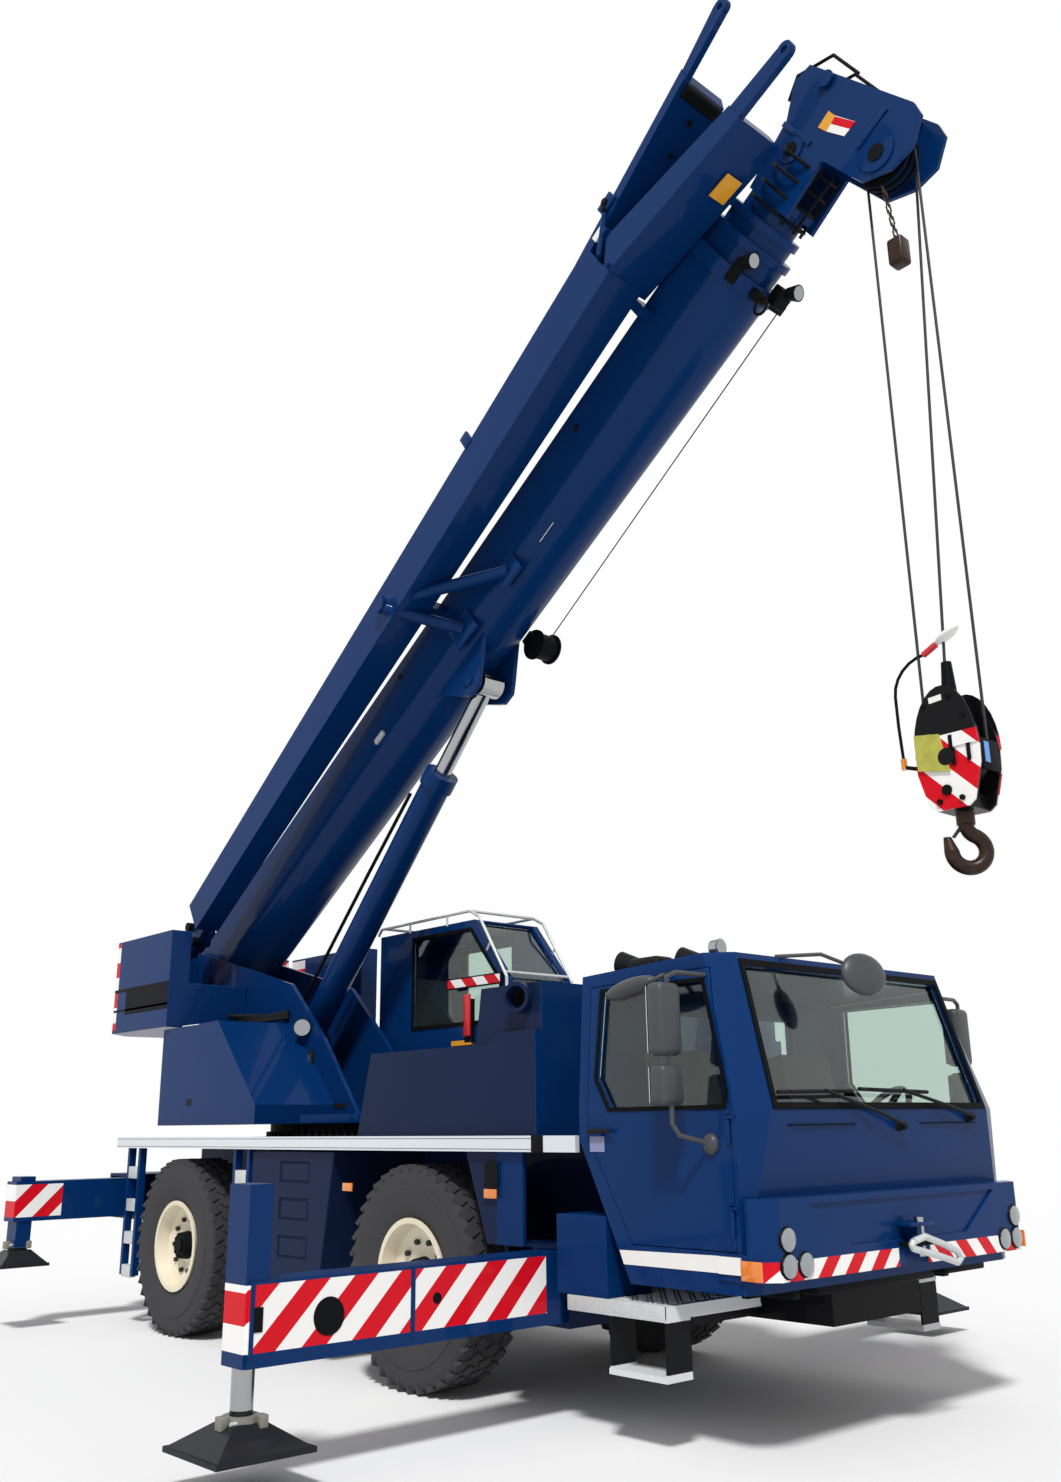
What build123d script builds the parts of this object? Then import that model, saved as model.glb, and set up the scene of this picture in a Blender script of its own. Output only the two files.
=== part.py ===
import os
from math import acos, cos, degrees, radians, sin

from build123d import *

os.makedirs("parts", exist_ok=True)

# X points forward, Y left and Z up; the origin is on the slewing axis at floor level.

# Running gear
wheelbase = 3270.0
slew_to_rear_axle = 650.0
tyre_radius = 685.0
tyre_width = 384.0
wheel_y = 1055.0
kingpin_y = 950.0
bead_radius = 330.0
flange_radius = 352.0
spindle_radius = 60.0
kingpin_radius = 28.0
axle_radius = 72.0
fit_gap = 0.3
panel_gap = 5.0

# Carrier
half_width = 1275.0
frame_half_width = 420.0
frame_wall = 40.0
frame_bottom = 800.0
deck_bottom = 1500.0
deck_thickness = 30.0
deck_rear = -1805.0
cab_gap = 11.0
rail_bottom = 1453.0
rail_top = 1545.0
rail_thickness = 32.0
turret_radius = 700.0
ring_radius = 690.0
ring_top = 1640.0
ring_teeth = 72

# Outriggers
beam_width = 220.0
front_beam_length = 2520.0
rear_beam_length = 2140.0
beam_wall = 16.0
front_housing_half_width = 1120.0
rear_housing_half_width = 1060.0
housing_wall = 30.0
front_axle_to_beam = 1230.0
rear_axle_to_beam = 1320.0
beam_pitch = 270.0
front_beam_bottom = 525.0
front_beam_top = 905.0
rear_beam_bottom = 865.0
rear_beam_top = 1190.0
front_beam_reach = 3160.0
rear_beam_reach = 2130.0
front_jack_inset = 50.0
rear_jack_inset = 100.0
jack_tube_x = 200.0
jack_tube_y = 130.0
tube_cap = 20.0
front_tube_top = 1345.0
rear_tube_top = 1230.0
rear_tube_bottom = 660.0
jack_rod_radius = 55.0
front_pad_side = 520.0
rear_pad_side = 420.0
front_pad_lift = 160.0
rear_pad_lift = 505.0
front_jack_rise = 190.0
pad_height = 130.0
collar_height = 20.0

# Driver's cab, lengths measured from its rear wall
front_axle_to_cab = 1630.0
cab_half_width = 1250.0
cab_wall = 60.0
cab_bottom = 790.0
cab_sill = 985.0
roof_rear_z = 2440.0
roof_front = 1000.0
roof_front_z = 2500.0
roof_half_width = 1190.0
shoulder_half_width = 1150.0
screen_base = 1230.0
screen_base_z = 1665.0
screen_base_half_width = 1060.0
screen_top_half_width = 1000.0
front_foot = 1180.0
hinge_set = 1100.0
hinge_pin_radius = 5.0
hinge_barrel_radius = 10.0
cab_cut = 370.0
cab_cut_z = 1520.0
bumper_depth = 125.0
bumper_half_width = 1262.0
bumper_bottom = 855.0
bumper_top = 1240.0
lamp_radius = 55.0
mirror_set = 890.0
mirror_reach = 190.0

# Engine hood
hood_half_width = 1200.0
hood_wall = 25.0
hood_length = 1895.0
front_axle_to_hood = 1205.0
hood_low_top = 2100.0
hood_mid_top = 2166.0
hood_high_top = 2460.0

# Upperworks
plate_inner = 305.0
plate_thickness = 40.0
floor_top = 1710.0
tail_x = -2660.0
tail_half_width = 1150.0
crane_cab_inner = 450.0
crane_cab_outer = 1190.0
crane_cab_wall = 45.0
crane_cab_bottom = 1750.0
crane_cab_top = 3320.0
crane_cab_rear = -190.0

# Boom
boom_angle = 33.0
pivot_x = -2050.0
pivot_z = 3050.0
pivot_pin_radius = 60.0
boom_half_width = 280.0
boom_top = 480.0
belly_centre = 20.0
boom_corner = 70.0
boom_rear = -200.0
boom_front = 8300.0
boom_wall = 12.0
stage_step = 40.0
stage_wall = 10.0
stage_rear = 500.0
collar_length = 120.0
head_u = 9410.0
head_v = -566.0
sheave_radius = 185.0
rope_radius = 9.0
block_centre_z = 3570.0

# Luffing cylinder
luff_eye_u = 4494.0
luff_eye_v = -384.0
luff_foot_x = -750.0
luff_foot_z = 2330.0
luff_barrel_radius = 130.0
luff_rod_radius = 75.0
luff_barrel_length = 3020.0

# Directions along the boom and square to it
along = Vector(cos(radians(boom_angle)), 0, sin(radians(boom_angle)))
upward = Vector(-sin(radians(boom_angle)), 0, cos(radians(boom_angle)))
pivot = Vector(pivot_x, 0, pivot_z)

rear_axle_x = -slew_to_rear_axle
front_axle_x = rear_axle_x + wheelbase
axle_z = tyre_radius
cab_rear = front_axle_x + front_axle_to_cab
front_foot_x = cab_rear + front_foot
bumper_front = front_foot_x + bumper_depth
hinge_x = cab_rear + hinge_set
deck_front = cab_rear - cab_gap
hood_front = front_axle_x + front_axle_to_hood
hood_rear = hood_front - hood_length
deck_top = deck_bottom + deck_thickness


def boom_point(u, v, y=0.0):
    return pivot + along * u + upward * v + Vector(0, y, 0)


def both(side, near, far):
    return tuple(sorted((side * near, side * far)))


def block(x, y, z, mode=Mode.ADD):
    with Locations((sum(x) / 2, sum(y) / 2, sum(z) / 2)):
        Box(x[1] - x[0], y[1] - y[0], z[1] - z[0], mode=mode)


def side_plate(points, y, mode=Mode.ADD):
    with BuildSketch(Plane.XZ.offset(-y[1])) as outline:
        with BuildLine():
            Polyline(*points, close=True)
        make_face()
    extrude(outline.sketch, amount=y[1] - y[0], mode=mode)


def plan_plate(points, z, mode=Mode.ADD):
    with BuildSketch(Plane.XY.offset(z[0])) as outline:
        with BuildLine():
            Polyline(*points, close=True)
        make_face()
    extrude(outline.sketch, amount=z[1] - z[0], mode=mode)


def boom_plate(points, y, mode=Mode.ADD):
    start = Plane(origin=pivot + Vector(0, y[1], 0), x_dir=along, z_dir=(0, -1, 0))
    with BuildSketch(start) as outline:
        with BuildLine():
            Polyline(*points, close=True)
        make_face()
    extrude(outline.sketch, amount=y[1] - y[0], mode=mode)


def rod(start, direction, radius, length, mode=Mode.ADD):
    with Locations(Plane(origin=start, z_dir=direction)):
        Cylinder(radius, length, align=(Align.CENTER, Align.CENTER, Align.MIN), mode=mode)


def cross_rod(x, z, y, radius, mode=Mode.ADD):
    rod((x, y[0], z), (0, 1, 0), radius, y[1] - y[0], mode)


def boom_section(inset, u, mode=Mode.ADD):
    width = boom_half_width - inset
    top = boom_top - inset
    corner = boom_corner
    with BuildSketch(Plane(origin=pivot + along * u[0], x_dir=(0, 1, 0), z_dir=along)) as section:
        with BuildLine():
            Polyline((width, belly_centre), (width, top - corner), (width - corner, top),
                     (corner - width, top), (-width, top - corner), (-width, belly_centre))
            ThreePointArc((-width, belly_centre), (0, belly_centre - width), (width, belly_centre))
        make_face()
    extrude(section.sketch, amount=u[1] - u[0], mode=mode)


def finish(piece, name):
    piece.part.label = name
    export_step(piece.part, f"parts/{name}.step")


sides = ((-1, "right"), (1, "left"))
front_beam_x = {-1: front_axle_x + front_axle_to_beam, 1: front_axle_x + front_axle_to_beam - beam_pitch}
rear_beam_x = {-1: rear_axle_x - rear_axle_to_beam, 1: rear_axle_x - rear_axle_to_beam - beam_pitch}


def cut_beam_channel(x, z, housing):
    reach = housing + panel_gap
    block((x - beam_width / 2 - panel_gap, x + beam_width / 2 + panel_gap), (-reach, reach),
          (z[0] - fit_gap, z[1] + panel_gap), Mode.SUBTRACT)


# Chassis frame with the turret, both outrigger housings and the low neck under the cab
neck_top = cab_bottom - 30.0
housing_end = beam_width / 2 + 35.0
frame_rear = rear_beam_x[-1] + housing_end
front_housing = (front_beam_x[1] - housing_end, front_beam_x[-1] + housing_end)
rear_housing = (rear_beam_x[1] - housing_end, frame_rear)
neck_front = front_foot_x - 130.0
with BuildPart() as chassis_frame:
    block((frame_rear, front_housing[1]), (-frame_half_width, frame_half_width), (frame_bottom, deck_bottom))
    pocket = frame_half_width - frame_wall
    block((frame_rear + frame_wall, front_housing[1] - frame_wall), (-pocket, pocket),
          (frame_bottom + frame_wall, deck_bottom), Mode.SUBTRACT)
    rod((0, 0, deck_bottom - 180), (0, 0, 1), turret_radius, 180)
    block(front_housing, (-front_housing_half_width, front_housing_half_width),
          (front_beam_bottom - housing_wall, front_beam_top + housing_wall))
    block(rear_housing, (-rear_housing_half_width, rear_housing_half_width),
          (rear_beam_bottom - housing_wall, rear_beam_top + housing_wall))
    block((front_housing[1] - frame_wall, neck_front), (-frame_half_width, frame_half_width),
          (neck_top - 200, neck_top))
    for x in (cab_rear + cab_cut + 100, neck_front - 150):
        for y in (-320, 320):
            rod((x, y, neck_top), (0, 0, 1), 45, cab_bottom - neck_top)
    for side, name in sides:
        cut_beam_channel(front_beam_x[side], (front_beam_bottom, front_beam_top), front_housing_half_width)
        cut_beam_channel(rear_beam_x[side], (rear_beam_bottom, rear_beam_top), rear_housing_half_width)
finish(chassis_frame, "chassis_frame")

# Slewing ring with its outer gear teeth
with BuildPart() as slew_ring:
    rod((0, 0, deck_bottom), (0, 0, 1), ring_radius - 35, ring_top - deck_bottom)
    rod((0, 0, deck_bottom), (0, 0, 1), ring_radius - 160, ring_top - deck_bottom, Mode.SUBTRACT)
    with PolarLocations(ring_radius - 25, ring_teeth):
        with Locations((0, 0, deck_bottom + 50)):
            Box(50, 26, 60)
finish(slew_ring, "slew_ring")

# Deck plate with the turret hole and the engine bay
engine_x = (front_axle_x - 470.0, front_axle_x + 740.0)
engine_half_width = 360.0
engine_top = 1900.0
with BuildPart() as deck:
    block((deck_rear, deck_front), (rail_thickness - half_width, half_width - rail_thickness),
          (deck_bottom, deck_top))
    rod((0, 0, deck_bottom), (0, 0, 1), ring_radius + 40, deck_thickness, Mode.SUBTRACT)
    block((engine_x[0] - 30, engine_x[1] + 30), (-engine_half_width - 15, engine_half_width + 15),
          (deck_bottom, deck_top), Mode.SUBTRACT)
finish(deck, "deck")

# Aluminium side rails along the deck's edges
with BuildPart() as deck_rails:
    for side, name in sides:
        block((deck_rear, deck_front), both(side, half_width - rail_thickness, half_width),
              (rail_bottom, rail_top))
finish(deck_rails, "deck_rails")

# Engine, one plain block in the frame's pocket
with BuildPart() as engine_block:
    block(engine_x, (-engine_half_width, engine_half_width), (frame_bottom + frame_wall, engine_top))
    chamfer(engine_block.edges().filter_by(Axis.X), length=60)
finish(engine_block, "engine_block")

# Stepped engine hood, a hollow shell on the deck
hood_step = (hood_front - 460, hood_front - 370)
hood_profile = [
    (hood_rear, deck_top), (hood_rear + 150, hood_low_top), (hood_step[0], hood_low_top),
    (hood_step[1], hood_mid_top),
    (hood_front, hood_mid_top), (hood_front, deck_top)]
hood_inner = [
    (hood_rear + hood_wall + 8, deck_top), (hood_rear + 150 + hood_wall, hood_low_top - hood_wall),
    (hood_step[0], hood_low_top - hood_wall), (hood_step[1], hood_mid_top - hood_wall),
    (hood_front - hood_wall, hood_mid_top - hood_wall), (hood_front - hood_wall, deck_top)]
tower_rear = hood_front - 650.0
tower_half_width = hood_half_width - 60
with BuildPart() as engine_hood:
    side_plate(hood_profile, (-hood_half_width, hood_half_width))
    side_plate([(tower_rear, hood_low_top - 40), (tower_rear + 60, hood_high_top),
                (hood_front, hood_high_top),
                (hood_front, hood_low_top - 40)], (-tower_half_width, tower_half_width))
    side_plate(hood_inner, (hood_wall - hood_half_width, hood_half_width - hood_wall), Mode.SUBTRACT)
    rod((hood_front - 200, -tower_half_width + 40, hood_high_top - 90), (0.35, -1, 0), 95, 130)
    rod((hood_front - 200, -tower_half_width + 40, hood_high_top - 90), (0.35, -1, 0), 70, 140,
        Mode.SUBTRACT)
finish(engine_hood, "engine_hood")

# Side boxes between the axles with embossed ribs, skirts behind the front wheels, lockers by the cab steps
box_x = (rear_axle_x + 1210.0, front_axle_x - 920.0)
box_z = (560.0, 1440.0)
box_outer = half_width - rail_thickness - 8
skirt_z = (front_beam_top + 15, deck_bottom)
skirts = {
    -1: [(front_axle_x + 780, skirt_z[0]), (front_axle_x + 555, skirt_z[1]),
         (front_beam_x[-1] - 115, skirt_z[1]),
         (front_beam_x[-1] - 115, skirt_z[0])],
    1: [(front_beam_x[1] + 120, skirt_z[0]), (front_beam_x[1] + 120, skirt_z[1]),
        (front_beam_x[1] + 255, skirt_z[1]),
        (front_beam_x[1] + 255, skirt_z[0])]}
step_z = 640.0
step_top = 700.0
locker_x = (cab_rear - 210, cab_rear + 190)
with BuildPart() as side_boxes:
    for side, name in sides:
        side_plate([(box_x[0], box_z[0]), (box_x[0], box_z[1]), (box_x[1], box_z[1]),
                    (box_x[1] - 150, box_z[0])],
                   both(side, frame_half_width, box_outer))
        side_plate([(box_x[0] + 20, box_z[0] + 20), (box_x[0] + 20, box_z[1] - 20),
                    (box_x[1] - 20, box_z[1] - 20),
                    (box_x[1] - 170, box_z[0] + 20)], both(side, frame_half_width, box_outer - 25),
                    Mode.SUBTRACT)
        for z in (700, 960, 1220):
            block((box_x[0] + 420, box_x[1] - 320), both(side, box_outer - 12, box_outer), (z, z + 150),
                  Mode.SUBTRACT)
            block((box_x[0] + 435, box_x[1] - 335), both(side, box_outer - 12, box_outer - 4),
                  (z + 15, z + 135))
        side_plate(skirts[side], both(side, box_outer - 30, box_outer))
        block((locker_x[0], locker_x[1]), both(side, 900, cab_half_width), (step_top, 1120))
        block((locker_x[0] + 20, locker_x[1] - 20), both(side, 920, cab_half_width - 25),
              (step_top + 20, 1100),
              Mode.SUBTRACT)
finish(side_boxes, "side_boxes")

# Ladders hung from the deck, two on each side
with BuildPart() as ladders:
    for side, name in sides:
        for x in (rear_axle_x - 865, rear_axle_x + 1045):
            stiles = both(side, half_width - 95, half_width - rail_thickness - 2)
            for edge in (x - 125, x + 85):
                block((edge, edge + 40), stiles, (400, deck_bottom))
            for z in (420, 690, 960, 1230):
                block((x - 100, x + 100), stiles, (z, z + 30))
finish(ladders, "ladders")

# Platform, hanging step and brackets below each cab door
step_x = (cab_rear - 100, cab_rear + 630)
hanging_x = (cab_rear + 215, cab_rear + 630)
with BuildPart() as cab_steps:
    for side, name in sides:
        block(step_x, both(side, 500, half_width), (step_z, step_top))
        for x in (step_x[0] + 270, step_x[1] - 100):
            block((x - 40, x + 40), both(side, frame_half_width, 1000), (step_z - 60, step_z))
        for x in (hanging_x[0], hanging_x[1] - 15):
            block((x, x + 15), both(side, 1080, half_width - 10), (345, step_z))
        block(hanging_x, both(side, 1080, half_width), (340, 370))
finish(cab_steps, "cab_steps")

# Two driven axles with their struts, kingpin bosses and differential
boss_half_height = 78.0
with BuildPart() as axles:
    for x in (rear_axle_x, front_axle_x):
        cross_rod(x, axle_z, (-kingpin_y, kingpin_y), axle_radius)
        cross_rod(x, axle_z, (-170, 170), frame_bottom - axle_z - panel_gap)
        for y in (-330, 330):
            rod((x, y, axle_z), (0, 0, 1), 60, frame_bottom - axle_z)
        for side, name in sides:
            rod((x, side * kingpin_y, axle_z - boss_half_height), (0, 0, 1), 68, 2 * boss_half_height)
            rod((x, side * kingpin_y, axle_z - boss_half_height), (0, 0, 1), kingpin_radius + fit_gap,
                2 * boss_half_height, Mode.SUBTRACT)
finish(axles, "axles")

# Front bumper with raked corners and a pressed trapezoid
with BuildPart() as bumper:
    corner_y = bumper_half_width - 112
    plan_plate([(front_foot_x, -bumper_half_width), (front_foot_x + 20, -bumper_half_width),
                (bumper_front, -corner_y),
                (bumper_front, corner_y), (front_foot_x + 20, bumper_half_width),
                (front_foot_x, bumper_half_width)],
               (bumper_bottom, bumper_top))
    for side, name in sides:
        block((front_foot_x - 180, front_foot_x), both(side, cab_half_width, bumper_half_width),
              (bumper_bottom, 980))
    with BuildSketch(Plane.YZ.offset(bumper_front)) as pressing:
        with BuildLine():
            Polyline((-900, 1205), (-560, 990), (560, 990), (900, 1205), close=True)
        make_face()
    extrude(pressing.sketch, amount=-14, mode=Mode.SUBTRACT)
    block((bumper_front - 15, bumper_front + 70), (-55, 55), (930, 1060))
    cross_rod(bumper_front + 45, 995, (-80, 80), 22)
finish(bumper, "bumper")

# Head lamps, indicators and lamp bar
with BuildPart() as lamps:
    for side, name in sides:
        for y, z in ((1101, 1049), (1101, 926), (966, 926)):
            rod((bumper_front, side * y, z), (1, 0, 0), lamp_radius, 14)
        block((front_foot_x - 140, front_foot_x - 40), both(side, bumper_half_width,
                                                            bumper_half_width + 8), (890, 965))
finish(lamps, "lamps")

# Driver's cab shell, lofted through its plan at four heights and trimmed to its side profile
cab_plan = (
    (cab_bottom, cab_half_width, front_foot - 40, cab_half_width, front_foot, cab_half_width - 100),
    (bumper_top, cab_half_width, front_foot - 40, cab_half_width, front_foot, cab_half_width - 100),
    (screen_base_z, cab_half_width, screen_base - 80, cab_half_width, screen_base, screen_base_half_width),
    (roof_front_z + 20, roof_half_width, roof_front - 105, shoulder_half_width, roof_front - 5,
     screen_top_half_width))
cab_profile = [
    (cab_rear, cab_cut_z), (cab_rear, roof_rear_z), (cab_rear + roof_front, roof_front_z),
    (cab_rear + screen_base + 100, roof_front_z), (cab_rear + screen_base + 100, cab_bottom),
    (cab_rear + cab_cut, cab_bottom)]
door_outline = [
    (cab_rear + 70, cab_cut_z + 20), (cab_rear + 70, roof_rear_z - 70),
    (cab_rear + roof_front - 60, roof_front_z - 85),
    (hinge_x + 15, screen_base_z), (hinge_x + 15, cab_sill), (cab_rear + cab_cut + 20, cab_sill)]
door_window = [
    (cab_rear + 165, roof_rear_z - 100), (cab_rear + 135, 1850), (cab_rear + 250, screen_base_z + 20),
    (hinge_x - 20, screen_base_z + 20), (hinge_x - 15, screen_base_z + 85),
    (cab_rear + roof_front - 100, roof_rear_z - 95)]
door_depth = (cab_half_width - 250, cab_half_width + 100)
screen_foot = Vector(cab_rear + screen_base, 0, screen_base_z)
screen_slope = (Vector(cab_rear + roof_front - 5, 0, roof_front_z + 20) - screen_foot).normalized()
screen_plane = Plane(origin=screen_foot, x_dir=(0, 1, 0), z_dir=Vector(0, 1, 0).cross(screen_slope))
screen_low = screen_base_half_width - 45
screen_high = screen_top_half_width - 40
screen_points = [(-screen_low, 30), (screen_low, 30), (screen_high, 800), (-screen_high, 800)]
rear_pane = ((-700, 700), (1750, 2250))
hinge_y = cab_half_width + 6
hinge_heights = (1120, 1560)


def inset_outline(points, amount):
    with BuildSketch() as inset:
        with BuildLine():
            Polyline(*points, close=True)
        make_face()
        if amount:
            offset(amount=amount, kind=Kind.INTERSECTION, mode=Mode.REPLACE)
    return inset.sketch


def side_sheet(points, amount, y, mode=Mode.ADD):
    outline = Plane.XZ.offset(-y[1]) * inset_outline(points, amount)
    extrude(outline, amount=y[1] - y[0], mode=mode)


def cab_body(inset):
    with BuildPart() as body:
        for z, rear_y, shoulder, shoulder_y, front, front_y in cab_plan:
            points = [(cab_rear, -rear_y), (cab_rear + shoulder, -shoulder_y), (cab_rear + front, -front_y),
                      (cab_rear + front, front_y), (cab_rear + shoulder, shoulder_y), (cab_rear, rear_y)]
            with BuildSketch(Plane.XY.offset(z)):
                add(inset_outline(points, -inset))
        loft(ruled=True)
        side_sheet(cab_profile, -inset, (-2 * half_width, 2 * half_width), Mode.INTERSECT)
    return body.part


cab_outside = cab_body(0)
cab_inside = cab_body(cab_wall)
with BuildPart() as cab_shell:
    add(cab_outside)
    add(cab_inside, mode=Mode.SUBTRACT)
    extrude(screen_plane * inset_outline(screen_points, 0), amount=100, both=True, mode=Mode.SUBTRACT)
    for side, name in sides:
        side_plate(door_outline, both(side, *door_depth), Mode.SUBTRACT)
    block((cab_rear - 5, cab_rear + cab_wall + 5), *rear_pane, Mode.SUBTRACT)
    for side, name in sides:
        for z in hinge_heights:
            block((hinge_x - 10, hinge_x + 40), both(side, cab_half_width, cab_half_width + 16),
                  (z + 65, z + 80))
            rod((hinge_x, side * hinge_y, z - 60), (0, 0, 1), hinge_pin_radius, 130)
finish(cab_shell, "cab_shell")

# Windscreen and rear pane
glass_thickness = 8.0
with BuildPart() as cab_glass:
    screen_middle = screen_plane.offset(-(cab_wall + glass_thickness) / 2)
    extrude(screen_middle * inset_outline(screen_points, -fit_gap), amount=glass_thickness)
    block((cab_rear + 20, cab_rear + 20 + glass_thickness), (rear_pane[0][0] + fit_gap,
                                                             rear_pane[0][1] - fit_gap),
          (rear_pane[1][0] + fit_gap, rear_pane[1][1] - fit_gap))
finish(cab_glass, "cab_glass")

# Seats, dashboard and steering wheel on the cab floor
cab_floor = cab_bottom + cab_wall
with BuildPart() as cab_interior:
    for side, name in sides:
        y = both(side, 330, 830)
        block((cab_rear + 450, cab_rear + 690), both(side, 450, 710), (cab_floor, 1250))
        block((cab_rear + 270, cab_rear + 750), y, (1250, 1380))
        side_plate([(cab_rear + 230, 1380), (cab_rear + 130, 2000), (cab_rear + 240, 2020),
                    (cab_rear + 360, 1380)], y)
    side_plate([(cab_rear + 1000, cab_floor), (cab_rear + 930, 1420), (cab_rear + 980, 1560),
                (cab_rear + 1090, 1560),
                (cab_rear + 1090, cab_floor)], (-1130, 1130))
    rod((cab_rear + 950, 580, 1500), (-0.75, 0, 0.65), 30, 190)
    with BuildSketch(Plane(origin=(cab_rear + 812, 580, 1620), z_dir=(-0.75, 0, 0.65))) as wheel_rim:
        Circle(225)
        Circle(195, mode=Mode.SUBTRACT)
        Rectangle(400, 40)
    extrude(wheel_rim.sketch, amount=26)
finish(cab_interior, "cab_interior")

# Doors, their panes and their mirrors
pane_outside = cab_body((cab_wall - glass_thickness) / 2)
pane_inside = cab_body((cab_wall + glass_thickness) / 2)
mirror_x = cab_rear + mirror_set
for side, name in sides:
    with BuildPart() as door:
        add(cab_outside)
        add(cab_inside, mode=Mode.SUBTRACT)
        side_sheet(door_outline, -panel_gap, both(side, *door_depth), Mode.INTERSECT)
        side_plate(door_window, both(side, *door_depth), Mode.SUBTRACT)
        block((cab_rear + 80, cab_rear + 200), both(side, cab_half_width, cab_half_width + 25), (1540, 1570))
        for z in hinge_heights:
            rod((hinge_x, side * hinge_y, z - 60), (0, 0, 1), hinge_barrel_radius, 120)
            rod((hinge_x, side * hinge_y, z - 60), (0, 0, 1), hinge_pin_radius + fit_gap, 120, Mode.SUBTRACT)
            rod((hinge_x, side * hinge_y, z + 60), (0, 0, 1), 26, 25, Mode.SUBTRACT)
    finish(door, f"door_{name}")
    with BuildPart() as pane:
        add(pane_outside)
        add(pane_inside, mode=Mode.SUBTRACT)
        side_sheet(door_window, -fit_gap, both(side, *door_depth), Mode.INTERSECT)
    finish(pane, f"door_{name}_glass")
    with BuildPart() as mirror:
        out = cab_half_width + mirror_reach
        for z, height in ((2129, 376), (1804, 194)):
            block((mirror_x - 80, mirror_x + 5), both(side, out - 62, out + 62),
                  (z - height / 2, z + height / 2))
        rod((mirror_x, side * out, 2350), (0, 0, -1), 12, 800)
        for foot in (Vector(cab_rear + 925, side * 1120, 2370), Vector(cab_rear + 980, side * 1225, 1500)):
            tip = Vector(mirror_x, side * out, min(foot.Z + 60, 2340))
            rod(foot, tip - foot, 9, (tip - foot).length)
        rod((cab_rear + 980, side * (cab_half_width - 20), 1500), (0, side, 0), 45, 50)
        add(cab_outside, mode=Mode.SUBTRACT)
    finish(mirror, f"mirror_{name}")

# Knuckles, rims and tyres
tyre_points = [(bead_radius, 160), (520, tyre_width / 2), (645, 184), (tyre_radius, 150)]
tyre_profile = tyre_points + [(radius, -t) for radius, t in reversed(tyre_points)]
rim_profile = [
    (300, -182), (flange_radius, -182), (flange_radius, -172), (bead_radius - fit_gap, -163),
    (bead_radius - fit_gap, 163), (flange_radius, 172), (flange_radius, 182), (318, 182), (296, 80),
    (140, 45),
    (105, 60), (95, 125), (0, 125), (0, 62), (spindle_radius + fit_gap, 62), (spindle_radius + fit_gap, 0),
    (120, 0), (300, 40)]
yoke_gap = boss_half_height + 4


def wheel_solid(points, x, side):
    centre = Plane(origin=(x, side * wheel_y, axle_z), x_dir=(1, 0, 0), z_dir=(0, 0, 1))
    with BuildSketch(centre) as outline:
        with BuildLine():
            Polyline(*[(radius, side * t) for radius, t in points], close=True)
        make_face()
    revolve(outline.sketch, axis=Axis((x, side * wheel_y, axle_z), (0, 1, 0)))


for axle, x in (("front", front_axle_x), ("rear", rear_axle_x)):
    for side, name in sides:
        with BuildPart() as knuckle:
            pin_y = side * kingpin_y
            for z in (axle_z + yoke_gap, axle_z - yoke_gap - 45):
                rod((x, pin_y, z), (0, 0, 1), 68, 45)
                block((x - 60, x + 60), both(side, kingpin_y, kingpin_y + 80), (z, z + 45))
            block((x - 60, x + 60), both(side, kingpin_y + 76, kingpin_y + 100),
                  (axle_z - yoke_gap - 45, axle_z + yoke_gap + 45))
            rod((x, pin_y, axle_z - yoke_gap - 20), (0, 0, 1), kingpin_radius, 2 * yoke_gap + 40)
            rod((x, side * (kingpin_y + 90), axle_z), (0, side, 0), spindle_radius,
                wheel_y + 60 - kingpin_y - 90)
        finish(knuckle, f"knuckle_{axle}_{name}")
        with BuildPart() as tyre:
            wheel_solid(tyre_profile, x, side)
        finish(tyre, f"tyre_{axle}_{name}")
        with BuildPart() as rim:
            wheel_solid(rim_profile, x, side)
        finish(rim, f"rim_{axle}_{name}")

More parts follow.
